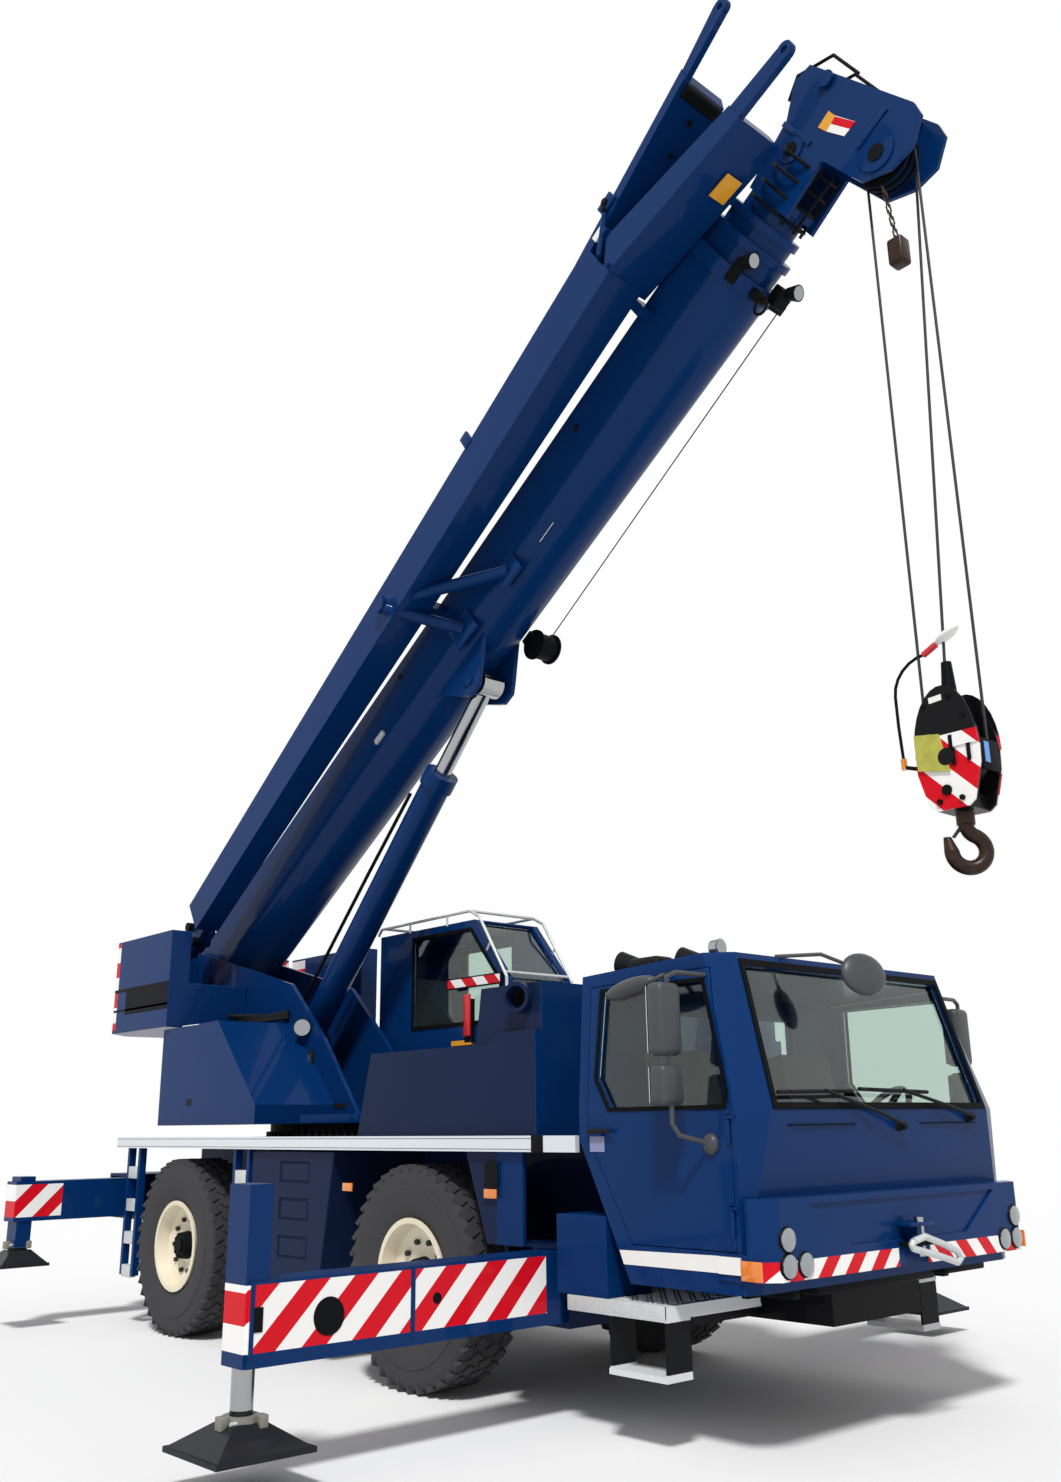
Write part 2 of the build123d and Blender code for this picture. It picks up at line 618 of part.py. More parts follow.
# Outrigger beams and jacks
outriggers = (
    ("front", front_beam_x, front_beam_reach, front_beam_length, (front_beam_bottom, front_beam_top),
     front_jack_inset,
     (front_beam_bottom, front_tube_top), front_pad_lift, front_jack_rise, front_pad_side),
    ("rear", rear_beam_x, rear_beam_reach, rear_beam_length, (rear_beam_bottom, rear_beam_top),
     rear_jack_inset,
     (rear_tube_bottom, rear_tube_top), rear_pad_lift, 0.0, rear_pad_side))
for place, beam_x, reach, length, z, inset, tube_z, lift, rise, pad_side in outriggers:
    for side, name in sides:
        x = beam_x[side]
        jack_y = side * (reach - inset)
        tube_top = tube_z[1] - tube_cap
        with BuildPart() as beam:
            block((x - beam_width / 2, x + beam_width / 2), both(side, reach - length, reach), z)
            block((x - beam_width / 2 + beam_wall, x + beam_width / 2 - beam_wall),
                  both(side, reach - length, reach - inset - jack_tube_y),
                  (z[0] + beam_wall, z[1] - beam_wall),
                  Mode.SUBTRACT)
            block((x - jack_tube_x / 2, x + jack_tube_x / 2), (jack_y - jack_tube_y / 2,
                                                               jack_y + jack_tube_y / 2), tube_z)
            rod((x, jack_y, tube_z[0]), (0, 0, 1), jack_rod_radius + fit_gap, tube_top - tube_z[0],
                Mode.SUBTRACT)
        finish(beam, f"outrigger_beam_{place}_{name}")
        with BuildPart() as jack:
            block((x - pad_side / 2, x + pad_side / 2), (jack_y - pad_side / 2, jack_y + pad_side / 2),
                  (lift, lift + 25))
            with BuildSketch(Plane.XY.offset(lift + 25)) as pad_foot:
                with Locations((x, jack_y)):
                    Rectangle(pad_side - 30, pad_side - 30)
            with BuildSketch(Plane.XY.offset(lift + pad_height)) as pad_crown:
                with Locations((x, jack_y)):
                    Rectangle(170, 170)
            loft([pad_foot.sketch.face(), pad_crown.sketch.face()])
            pad_top = lift + pad_height
            rod((x, jack_y, pad_top), (0, 0, 1), 80, collar_height)
            rod((x, jack_y, pad_top), (0, 0, 1), jack_rod_radius, tube_top - rise - panel_gap - pad_top)
        finish(jack, f"jack_{place}_{name}")

# Slewing platform: floor, two tall side plates, boom pin, cylinder foot and the right-hand cover
plate_outline = [(-2305, 3345), (-460, 2860), (135, 2320), (665, floor_top), (-900, floor_top),
                 (-2200, 2650)]
plate_y = (plate_inner, plate_inner + plate_thickness)
with BuildPart() as slewing_platform:
    rod((0, 0, ring_top), (0, 0, 1), ring_radius + 60, floor_top - ring_top)
    block((-1000, 1000), (-plate_y[1], plate_y[1]), (ring_top, floor_top))
    block((-300, 1400), (0, crane_cab_outer - 40), (ring_top, floor_top))
    for x in (-150, 1150):
        block((x, x + 160), (crane_cab_inner + 60, crane_cab_outer - 60), (floor_top, crane_cab_bottom))
    for side, name in sides:
        side_plate(plate_outline, both(side, *plate_y))
        cross_rod(luff_foot_x, luff_foot_z, both(side, 150, 200), 150)
        side_plate([(luff_foot_x - 150, luff_foot_z), (luff_foot_x + 150, luff_foot_z),
                    (luff_foot_x + 260, floor_top), (luff_foot_x - 260, floor_top)], both(side, 150, 200))
    cross_rod(pivot_x, pivot_z, (-plate_y[1] - 25, plate_y[1] + 25), pivot_pin_radius)
    side_plate([(-1390, ring_top), (-1390, 2480), (-380, 2500), (320, 1790), (320, ring_top)],
               (-1100, -plate_y[0]))
    block((-2230, -2130), (-plate_y[0], plate_y[0]), (2560, 2660))
finish(slewing_platform, "slewing_platform")

# Counterweight: tail slab and two stepped wings
with BuildPart() as counterweight:
    plan_plate([(tail_x, -900), (tail_x + 250, -tail_half_width), (-1250, -tail_half_width),
                (-1250, -plate_y[1]),
                (-2305, -plate_y[1]), (-2305, plate_y[1]), (-1250, plate_y[1]), (-1250, tail_half_width),
                (tail_x + 250, tail_half_width), (tail_x, 900)], (2500, 2900))
    block((tail_x + 80, -2200), (-plate_y[0], plate_y[0]), (2750, 2900), Mode.SUBTRACT)
    block((tail_x, tail_x + 70), (-900, 900), (2900, 3380))
    for side, name in sides:
        plan_plate([(tail_x + 50, side * (tail_half_width - 200)), (tail_x + 250, side * tail_half_width),
                    (-1250, side * tail_half_width), (-1250, side * (tail_half_width - 200))], (2900, 3380))
finish(counterweight, "counterweight")

# Hoist winch between the side plates
winch_x = -1500.0
winch_z = 2250.0
with BuildPart() as winch:
    cross_rod(winch_x, winch_z, (-plate_inner, plate_inner), 60)
    cross_rod(winch_x, winch_z, (-240, 240), 170)
    for y in ((-265, -240), (240, 265)):
        cross_rod(winch_x, winch_z, y, 270)
finish(winch, "winch")

# Crane operator's cab, hollow, with its windows and the door opening cut
crane_cab_outline = [
    (crane_cab_rear, crane_cab_bottom), (crane_cab_rear, crane_cab_top), (1200, crane_cab_top), (1640, 2780),
    (1640, 2500), (1500, 2100), (1350, crane_cab_bottom)]
side_window = [(330, 2440), (330, crane_cab_top - 80), (1160, crane_cab_top - 80), (1560, 2760),
               (1560, 2520),
               (1520, 2440)]
crane_door = [(120, 1840), (120, crane_cab_top - 70), (900, crane_cab_top - 70), (900, 1840)]
crane_door_window = [(190, 2350), (190, crane_cab_top - 140), (830, crane_cab_top - 140), (830, 2350)]
crane_cab_y = (crane_cab_inner, crane_cab_outer)
crane_cab_inside = (crane_cab_inner + crane_cab_wall, crane_cab_outer - crane_cab_wall)
with BuildPart() as crane_cab_shell:
    side_plate(crane_cab_outline, crane_cab_y)
    side_sheet(crane_cab_outline, -crane_cab_wall, crane_cab_inside, Mode.SUBTRACT)
    side_plate(side_window, (crane_cab_inner - 5, crane_cab_inside[0] + 5), Mode.SUBTRACT)
    side_plate(crane_door, (crane_cab_inside[1] - 5, crane_cab_outer + 5), Mode.SUBTRACT)
    front_opening = [(1130, crane_cab_top - 60), (1170, crane_cab_top + 20), (1760, 2850), (1760, 2300),
                     (1540, 2300),
                     (1540, 2760)]
    side_plate(front_opening, (crane_cab_inside[0] + 25, crane_cab_inside[1] - 25), Mode.SUBTRACT)
finish(crane_cab_shell, "crane_cab_shell")

# Panes of the crane cab
with BuildPart() as crane_cab_glass:
    middle = crane_cab_inner + crane_cab_wall / 2
    side_sheet(side_window, -fit_gap, (middle - 4, middle + 4))
finish(crane_cab_glass, "crane_cab_glass")

# Crane operator's seat with its pedestal and consoles
with BuildPart() as crane_cab_seat:
    cab_low = crane_cab_bottom + crane_cab_wall
    block((250, 500), (720, 920), (cab_low, 2130))
    block((130, 640), (590, 1050), (2130, 2250))
    side_plate([(70, 2250), (0, 2900), (110, 2920), (210, 2250)], (590, 1050))
finish(crane_cab_seat, "crane_cab_seat")

# Sliding door on the outside of the crane cab, with its pane
crane_door_y = (crane_cab_outer + fit_gap, crane_cab_outer + fit_gap + 35)
with BuildPart() as crane_cab_door:
    side_sheet(crane_door, 20, crane_door_y)
    side_plate(crane_door_window, (crane_door_y[0] - 1, crane_door_y[1] + 1), Mode.SUBTRACT)
    block((150, 180), (crane_door_y[1], crane_door_y[1] + 18), (2300, 2500))
finish(crane_cab_door, "crane_cab_door")
with BuildPart() as crane_cab_door_glass:
    side_sheet(crane_door_window, -fit_gap, (crane_door_y[0] + 14, crane_door_y[0] + 22))
finish(crane_cab_door_glass, "crane_cab_door_glass")

# Luffing cylinder
luff_eye = boom_point(luff_eye_u, luff_eye_v)
luff_foot = Vector(luff_foot_x, 0, luff_foot_z)
luff_direction = (luff_eye - luff_foot).normalized()
luff_length = (luff_eye - luff_foot).length
with BuildPart() as luff_barrel:
    cross_rod(luff_foot_x, luff_foot_z, (-140, 140), 115)
    rod(luff_foot + luff_direction * 60, luff_direction, luff_barrel_radius, luff_barrel_length - 60)
    rod(luff_foot + luff_direction * (luff_barrel_length - 140), luff_direction, luff_barrel_radius + 20,
        140)
    rod(luff_foot + luff_direction * 200, luff_direction, luff_rod_radius + fit_gap, luff_barrel_length,
        Mode.SUBTRACT)
finish(luff_barrel, "luff_barrel")
luff_rod_inside = 1600.0
with BuildPart() as luff_rod:
    rod(luff_foot + luff_direction * (luff_barrel_length - luff_rod_inside), luff_direction, luff_rod_radius,
        luff_length - luff_barrel_length + luff_rod_inside)
    cross_rod(luff_eye.X, luff_eye.Z, (-105, 105), 105)
    cross_rod(luff_eye.X, luff_eye.Z, (-105, 105), 50 + fit_gap, Mode.SUBTRACT)
finish(luff_rod, "luff_rod")

# Boom base section with its foot, cylinder bracket and front collar
with BuildPart() as boom_base:
    boom_section(0, (boom_rear, boom_front))
    boom_section(-25, (boom_front - collar_length, boom_front))
    boom_section(boom_wall, (boom_rear + 20, boom_front - collar_length), Mode.SUBTRACT)
    boom_section(stage_step - fit_gap, (boom_front - collar_length, boom_front), Mode.SUBTRACT)
    cross_rod(pivot_x, pivot_z, (-plate_inner + panel_gap, plate_inner - panel_gap), 140)
    cross_rod(pivot_x, pivot_z, (-plate_inner, plate_inner), pivot_pin_radius + fit_gap, Mode.SUBTRACT)
    for side, name in sides:
        boom_plate([(luff_eye_u - 420, -120), (luff_eye_u - 130, luff_eye_v - 60),
                    (luff_eye_u - 60, luff_eye_v - 130),
                    (luff_eye_u + 60, luff_eye_v - 130), (luff_eye_u + 130, luff_eye_v - 60),
                    (luff_eye_u + 420, -120)], both(side, 160, 200))
    cross_rod(luff_eye.X, luff_eye.Z, (-215, 215), 50)
    boom_section(boom_wall, (boom_rear + 20, boom_front - collar_length), Mode.SUBTRACT)
finish(boom_base, "boom_base")

# Three telescopic sections, each on its rear pad ring and in the collar of the one before
stage_fronts = (8500.0, 8650.0, 8800.0)
head = boom_point(head_u, head_v)
becket_x = 130.0
becket_y = 75.0
becket_drop = 110.0
becket_radius = 20.0
for number, front in enumerate(stage_fronts, start=1):
    inset = number * stage_step
    outer_wall = boom_wall if number == 1 else stage_wall
    rear = stage_rear + 200 * (number - 1)
    with BuildPart() as stage:
        boom_section(inset, (rear, front))
        boom_section(inset - stage_step + outer_wall + fit_gap, (rear, rear + collar_length))
        if number < len(stage_fronts):
            boom_section(inset - 25, (front - 60, front))
            boom_section(inset + stage_wall, (rear - 1, front - 60), Mode.SUBTRACT)
            boom_section(inset + stage_step - fit_gap, (front - 60, front), Mode.SUBTRACT)
        else:
            boom_section(inset + stage_wall, (rear - 1, front - 60), Mode.SUBTRACT)
            for side, name in sides:
                boom_plate([(front - 40, 330), (head_u - 160, head_v + 986), (head_u + 70, head_v + 1166),
                            (head_u + 210, head_v + 1126), (head_u + 360, head_v + 6),
                            (head_u + 330, head_v - 114),
                            (head_u + 150, head_v - 234), (head_u - 30, head_v - 194),
                            (head_u - 190, head_v - 34),
                            (head_u - 230, head_v + 416), (front - 40, -190)], both(side, 130, 160))
            cross_rod(head.X, head.Z, (-170, 170), 45)
            cross_rod(head.X + becket_x, head.Z - becket_drop, (becket_y - 20, 170), becket_radius)
            for y in (-60, 0):
                cross_rod(head.X, head.Z, (y - 22, y + 22), sheave_radius - rope_radius - fit_gap)
            top = boom_point(head_u - 290, head_v + 746)
            cross_rod(top.X, top.Z, (-165, 165), 35)
            cross_rod(top.X, top.Z, (-30, 30), 190)
            boom_plate([(front - 10, 250), (front + 50, 250), (front + 50, -150), (front - 10, -150)],
                       (-150, 150))
    finish(stage, f"tele_{number}")

# Stowed jib on the boom's right-hand side: a tapered box tube, a fork with two pin eyes and a rear foot
jib_rear_section = ((-760.0, -520.0), (80.0, 380.0))
jib_front_section = ((-760.0, -400.0), (370.0, 785.0))
jib_span = (620.0, 7750.0)
jib_wall = 12.0
arm_y = (jib_front_section[0][0], -320.0)
upper_arm = [(7600, 778), (9100, 990), (9060, 900), (7600, 690)]
lower_arm = [(7900, 640), (9100, 270), (9080, 100), (7700, 390)]
lug_y = (arm_y[0] + 15, arm_y[0] + 65)
upper_lug = [(8800, 930), (9540, 1097), (9540, 973), (8900, 885)]
lower_lug = [(8950, 300), (9540, 192), (9540, 68), (8950, 145)]
eye_radius = 62.0
eye_bore = 26.0


def jib_face(u, section, inset):
    y, v = section
    place = Plane(origin=boom_point(u, sum(v) / 2, sum(y) / 2), x_dir=(0, 1, 0), z_dir=along)
    with BuildSketch(place) as face:
        Rectangle(y[1] - y[0] - 2 * inset, v[1] - v[0] - 2 * inset)
    return face.sketch.face()


arm_plane = Plane(origin=pivot + Vector(0, arm_y[1] - jib_wall, 0), x_dir=along, z_dir=(0, -1, 0))
with BuildPart() as jib:
    loft([jib_face(jib_span[0], jib_rear_section, 0), jib_face(jib_span[1], jib_front_section, 0)])
    for arm in (upper_arm, lower_arm):
        boom_plate(arm, arm_y)
    loft([jib_face(jib_span[0] + jib_wall, jib_rear_section, jib_wall),
          jib_face(jib_span[1] - jib_wall, jib_front_section, jib_wall)], mode=Mode.SUBTRACT)
    for arm in (upper_arm, lower_arm):
        cavity = arm_plane * inset_outline(arm, -jib_wall)
        extrude(cavity, amount=arm_y[1] - arm_y[0] - 2 * jib_wall, mode=Mode.SUBTRACT)
    for lug in (upper_lug, lower_lug):
        boom_plate(lug, lug_y)
        eye = boom_point(lug[1][0] + 20, (lug[1][1] + lug[2][1]) / 2)
        cross_rod(eye.X, eye.Z, lug_y, eye_radius)
        cross_rod(eye.X, eye.Z, lug_y, eye_bore, Mode.SUBTRACT)
    boom_plate([(4600, 270), (4600, 390), (4680, 390), (4680, 270)], (-460, -boom_half_width))
    boom_plate([(7600, 250), (7600, 430), (7680, 430), (7680, 250)], (-408, -boom_half_width))
    boom_plate([(200, 40), (640, 100), (640, 280), (380, 300), (200, 160)], (-665, -615))
finish(jib, "jib")

# Rope falls: two from sheave to sheave and the dead end from the head's pin to the becket
becket_top = block_centre_z + 410.0
with BuildPart() as rope_falls:
    for x in (head.X - sheave_radius, head.X + sheave_radius):
        rod((x, 0, block_centre_z), (0, 0, 1), rope_radius, head.Z - block_centre_z)
    rope_foot = Vector(head.X - 30, 0, becket_top + fit_gap)
    rope_tip = Vector(head.X + becket_x, becket_y, head.Z - becket_drop - becket_radius - fit_gap)
    with BuildSketch(Plane(origin=rope_foot)) as rope_end:
        Circle(rope_radius)
    extrude(rope_end.sketch, amount=(rope_tip - rope_foot).length, dir=rope_tip - rope_foot)
finish(rope_falls, "rope_falls")

# Hook block with its sheave, becket lug and swivel cross-head
block_half = [(200, 40), (187, 140), (145, 235), (110, 270)]
block_low = [(100, -300), (140, -270), (195, -70)]
block_right = block_low + block_half
with BuildPart() as hook_block:
    cheek = [(head.X + x, block_centre_z + z) for x, z in block_right]
    cheek += [(head.X - x, block_centre_z + z) for x, z in reversed(block_right)]
    for side, name in sides:
        side_plate(cheek, both(side, 95, 125))
    cross_rod(head.X, block_centre_z, (-140, 140), 50)
    cross_rod(head.X, block_centre_z, (-25, 25), sheave_radius - rope_radius - fit_gap)
    cross_rod(head.X - 30, block_centre_z + 228, (-100, 100), 28)
    block((head.X - 75, head.X + 15), (-25, 25), (block_centre_z + 200, becket_top))
    block((head.X - 100, head.X + 100), (-100, 100), (block_centre_z - 300, block_centre_z - 215))
    rod((head.X, 0, block_centre_z - 310), (0, 0, 1), 32 + fit_gap, 100, Mode.SUBTRACT)
finish(hook_block, "hook_block")

# Forged hook: a round bar swept down the shank, out and round the bowl, with a tapered tip
hook_x = head.X
hook_z = block_centre_z - 527.0
hook_radius = 95.0
hook_bend = 70.0
hook_bar = 42.0
hook_tip_radius = 22.0
hook_shank = 32.0
hook_collar = 52.0
hook_turn = radians(45)
bend_angle = acos(hook_bend / (hook_bend + hook_radius))
shank_foot = (hook_bend + hook_radius) * sin(bend_angle)
across = Vector(cos(hook_turn), sin(hook_turn), 0)
hook_plane = Plane(origin=(hook_x, 0, hook_z), x_dir=across, z_dir=across.cross(Vector(0, 0, 1)))
hook_end = hook_plane.from_local_coords(Vector(-hook_radius, 0, 0))
hook_tip = hook_plane.from_local_coords(Vector(-hook_radius - 17, 80, 0))
with BuildPart() as hook:
    with BuildLine(hook_plane) as hook_path:
        shank = Line((0, shank_foot + 10), (0, shank_foot))
        bend = JernArc(start=(0, shank_foot), tangent=(0, -1), radius=hook_bend,
                       arc_size=degrees(bend_angle))
        JernArc(start=bend @ 1, tangent=bend % 1, radius=hook_radius, arc_size=-180 - degrees(bend_angle))
    with BuildSketch(Plane(origin=(hook_x, 0, hook_z + shank_foot + 10), z_dir=(0, 0, -1))):
        Circle(hook_bar)
    sweep(path=hook_path.wires()[0])
    with BuildSketch(Plane(origin=hook_end)) as tip_root:
        Circle(hook_bar)
    with BuildSketch(Plane(origin=hook_tip)) as tip_end:
        Circle(hook_tip_radius)
    loft([tip_root.sketch.face(), tip_end.sketch.face()])
    rod((hook_x, 0, hook_z + 150), (0, 0, 1), hook_collar, 70)
    rod((hook_x, 0, hook_z + 150), (0, 0, 1), hook_shank, 150)
finish(hook, "hook")
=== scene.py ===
import math

import bmesh
import bpy
from mathutils import Matrix, Vector


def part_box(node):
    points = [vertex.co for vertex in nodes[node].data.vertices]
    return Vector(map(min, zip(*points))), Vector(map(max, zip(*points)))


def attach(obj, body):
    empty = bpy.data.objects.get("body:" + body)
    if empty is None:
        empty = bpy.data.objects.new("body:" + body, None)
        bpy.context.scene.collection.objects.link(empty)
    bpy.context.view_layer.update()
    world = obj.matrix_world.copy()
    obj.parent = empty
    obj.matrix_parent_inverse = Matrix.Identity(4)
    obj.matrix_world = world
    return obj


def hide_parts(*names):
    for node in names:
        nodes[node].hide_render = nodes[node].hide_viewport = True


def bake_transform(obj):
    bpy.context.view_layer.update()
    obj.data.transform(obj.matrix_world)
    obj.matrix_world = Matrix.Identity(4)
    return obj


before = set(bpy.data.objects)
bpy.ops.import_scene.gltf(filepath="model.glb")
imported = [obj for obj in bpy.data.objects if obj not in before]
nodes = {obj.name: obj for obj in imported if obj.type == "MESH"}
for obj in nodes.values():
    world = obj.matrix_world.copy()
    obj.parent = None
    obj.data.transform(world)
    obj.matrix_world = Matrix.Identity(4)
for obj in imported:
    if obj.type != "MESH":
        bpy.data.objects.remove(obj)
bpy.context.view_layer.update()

scene = bpy.context.scene
scene.view_settings.view_transform = "Standard"
print("frame loaded,", len(nodes), "nodes")

# camera at the photograph's viewing angle
cameraView = {"place": (9.731, -6.476, 1.605), "azimuth": 48.263, "pitch": 16.851, "roll": -0.731,
              "lens": 30.80, "sensor": 36.0, "farthest": 300}


def addCamera():
    turn, pitch, roll = (math.radians(cameraView[key]) for key in ("azimuth", "pitch", "roll"))
    forward = Vector((-math.sin(turn) * math.cos(pitch), math.cos(turn) * math.cos(pitch), math.sin(pitch)))
    level = Vector((math.cos(turn), math.sin(turn), 0))
    upright = level.cross(forward)
    right = level * math.cos(roll) + upright * math.sin(roll)
    up = right.cross(forward)
    lens = bpy.data.cameras.new("photoCamera")
    lens.sensor_fit = "VERTICAL"
    lens.sensor_height = cameraView["sensor"]
    lens.lens = cameraView["lens"]
    lens.clip_end = cameraView["farthest"]
    camera = bpy.data.objects.new("photoCamera", lens)
    axes = Matrix((right, up, -forward)).transposed().to_4x4()
    camera.matrix_world = Matrix.Translation(cameraView["place"]) @ axes
    scene.collection.objects.link(camera)
    scene.camera = camera


addCamera()
print("camera placed")


# materials
def hexColor(code):
    channels = [int(code[i:i + 2], 16) / 255 for i in (1, 3, 5)]
    return [c / 12.92 if c <= 0.04045 else ((c + 0.055) / 1.055) ** 2.4 for c in channels] + [1.0]


def addNode(tree, kind, settings=None, links=None):
    node = tree.nodes.new(kind)
    for key, value in (settings or {}).items():
        if isinstance(key, int) or key in node.inputs:
            node.inputs[key].default_value = value
        else:
            setattr(node, key, value)
    for key, source in (links or {}).items():
        tree.links.new(source, node.inputs[key])
    return node


def newFinish(name, code, roughness, metallic=0.0, coat=0.0, **more):
    finish = bpy.data.materials.new(name)
    finish.use_nodes = True
    tree = finish.node_tree
    shader = tree.nodes["Principled BSDF"]
    settings = {"Base Color": hexColor(code), "Roughness": roughness, "Metallic": metallic,
                "Coat Weight": coat, "Coat Roughness": 0.05, **more}
    for key, value in settings.items():
        shader.inputs[key].default_value = value
    return finish, tree, shader


def objectPlace(tree):
    return addNode(tree, "ShaderNodeTexCoord").outputs["Object"]


mm = 0.001


# cloudy colour and sheen: the two colours, the size of a spot and the roughness range
def mottle(tree, shader, code, darkCode, spotMm, roughLow, roughHigh):
    noise = addNode(tree, "ShaderNodeTexNoise", {"Scale": 1 / (spotMm * mm), "Detail": 3.0, "Roughness": 0.6},
                    {"Vector": objectPlace(tree)})
    tint = addNode(tree, "ShaderNodeMix", {"data_type": "RGBA", 6: hexColor(darkCode), 7: hexColor(code)},
                   {0: noise.outputs["Fac"]})
    tree.links.new(tint.outputs[2], shader.inputs["Base Color"])
    span = addNode(tree, "ShaderNodeMapRange", {"To Min": roughLow, "To Max": roughHigh},
                   {"Value": noise.outputs["Fac"]})
    tree.links.new(span.outputs["Result"], shader.inputs["Roughness"])


def plainFinish(name, code, roughness, metallic=0.0, coat=0.0, spots=None, **more):
    finish, tree, shader = newFinish(name, code, roughness, metallic, coat, **more)
    if spots:
        mottle(tree, shader, *spots)
    return finish


navyCode = "#042d60"
dullSheen = {"Specular IOR Level": 0.05}
# two-pack enamel sprayed on steel: deep navy under a clear gloss
navyEnamel = plainFinish("navyEnamelGloss", navyCode, 0.32, coat=0.14, **dullSheen)
# the same enamel on the deck, flatted by dust to a satin navy with dusty spots, its darker greyer navy
# painted shade
shadedNavySatin = plainFinish("navyEnamelSatinShaded", "#131f3d", 0.45, coat=0.03,
                        spots=("#182746", "#111d38", 700, 0.4, 0.52), **dullSheen)
# satin black chassis paint
blackPaint = plainFinish("blackChassisPaint", "#111215", 0.5, **dullSheen)
# cream wheel enamel with brake dust in the corners
creamEnamel = plainFinish("creamWheelEnamel", "#e4dac2", 0.38, coat=0.3,
                          spots=("#ebe3cf", "#d6caae", 240, 0.3, 0.48))
# hot-dip galvanised steel with a cloudy zinc spangle
zincSteel = plainFinish("galvanisedSteel", "#c4c8c9", 0.5, metallic=0.25,
                        spots=("#dde1e1", "#aeb4b5", 16, 0.35, 0.6))
# extruded aluminium rail, mill finish
railAlloy = plainFinish("extrudedAluminium", "#d8dee2", 0.36, metallic=0.25)
# hard chrome on ground steel rods
hardChrome = plainFinish("hardChrome", "#a9abad", 0.12, metallic=1.0)
# oily cast iron
castIron = plainFinish("castIron", "#2c2c2e", 0.6, metallic=0.3)
# sand-cast clamp iron left grey
greyCasting = plainFinish("sandCastIron", "#85847b", 0.6, metallic=0.2)
# drop-forged hook steel, browned by its quench and by rust
forgedSteel = plainFinish("forgedSteel", "#2a2320", 0.4, metallic=0.6,
                          spots=("#40291f", "#0f0e0e", 45, 0.25, 0.5))
# vulcanised tyre rubber with dust on the tread
tyreRubber = plainFinish("tyreRubber", "#2b2b2d", 0.85, spots=("#37373a", "#262628", 90, 0.75, 0.92))
# moulded black polypropylene, matt
blackPlastic = plainFinish("grainedPolypropylene", "#1d1e20", 0.42, **dullSheen)
# the same plastic bleached grey on the mirror backs
greyPlastic = plainFinish("bleachedPolypropylene", "#414346", 0.38, **{"Specular IOR Level": 0.3})
# black EPDM seals
sealRubber = plainFinish("epdmRubber", "#0c0c0d", 0.55, **dullSheen)
# green-tinted laminated glass
tintedGlass = plainFinish("laminatedGlass", "#d3e2db", 0.0, **{"Transmission Weight": 1.0, "IOR": 1.45})
# silvered mirror glass
mirrorGlass = plainFinish("silveredGlass", "#cfd4d6", 0.04, metallic=1.0)
# clear, amber and red moulded polycarbonate lenses
clearLens = plainFinish("clearPolycarbonate", "#989da1", 0.1, metallic=0.85, coat=0.6)
amberLens = plainFinish("amberPolycarbonate", "#e07a12", 0.15, coat=1.0)
redLens = plainFinish("redPolycarbonate", "#a8121a", 0.15, coat=1.0)
# wire rope, greased and dusty
ropeSteel = plainFinish("greasedWireRope", "#2e2f32", 0.5, metallic=0.5)
# sign white, red, yellow, blue and scuffed lime enamel for the bare plates and panels
whiteEnamel = plainFinish("signWhiteEnamel", "#e9e9e6", 0.35, coat=0.3)
redEnamel = plainFinish("signRedEnamel", "#cf1020", 0.35, coat=0.3)
yellowEnamel = plainFinish("signYellowEnamel", "#e09a10", 0.4, coat=0.3)
blueEnamel = plainFinish("signBlueEnamel", "#4f8fd8", 0.4, coat=0.3)
limeEnamel = plainFinish("scuffedLimeEnamel", "#b9b64a", 0.5, spots=("#c6c451", "#8f8a3c", 60, 0.4, 0.6))
# reflective tape, glass beads under a lilac-grey film
greyTape = plainFinish("beadedReflectiveTape", "#8288ad", 0.5)
# woven grey seat cloth
seatCloth = plainFinish("wovenSeatCloth", "#565a60", 0.9)


def maskBand(tree, place, axis, low, high):
    part = addNode(tree, "ShaderNodeSeparateXYZ", None, {"Vector": place}).outputs[axis]
    above = addNode(tree, "ShaderNodeMath", {"operation": "GREATER_THAN", 1: low}, {0: part})
    below = addNode(tree, "ShaderNodeMath", {"operation": "LESS_THAN", 1: high}, {0: part})
    both = addNode(tree, "ShaderNodeMath", {"operation": "MULTIPLY"},
                   {0: above.outputs[0], 1: below.outputs[0]})
    return both.outputs[0]


def maskAll(tree, masks):
    total = masks[0]
    for mask in masks[1:]:
        total = addNode(tree, "ShaderNodeMath", {"operation": "MULTIPLY"}, {0: total, 1: mask}).outputs[0]
    return total


hazard = {"red": "#d01122", "white": "#f0efec", "roughness": 0.32, "pitch": 290, "beamShift": 3596,
          "frontReach": (1.26, 3.2), "rearReach": (1.72, 2.2), "frontHeight": (0.59, 0.89),
          "rearHeight": (0.90, 1.165), "frontPadTop": 0.34, "rearPadTop": 0.69, "jackTop": 3.0}


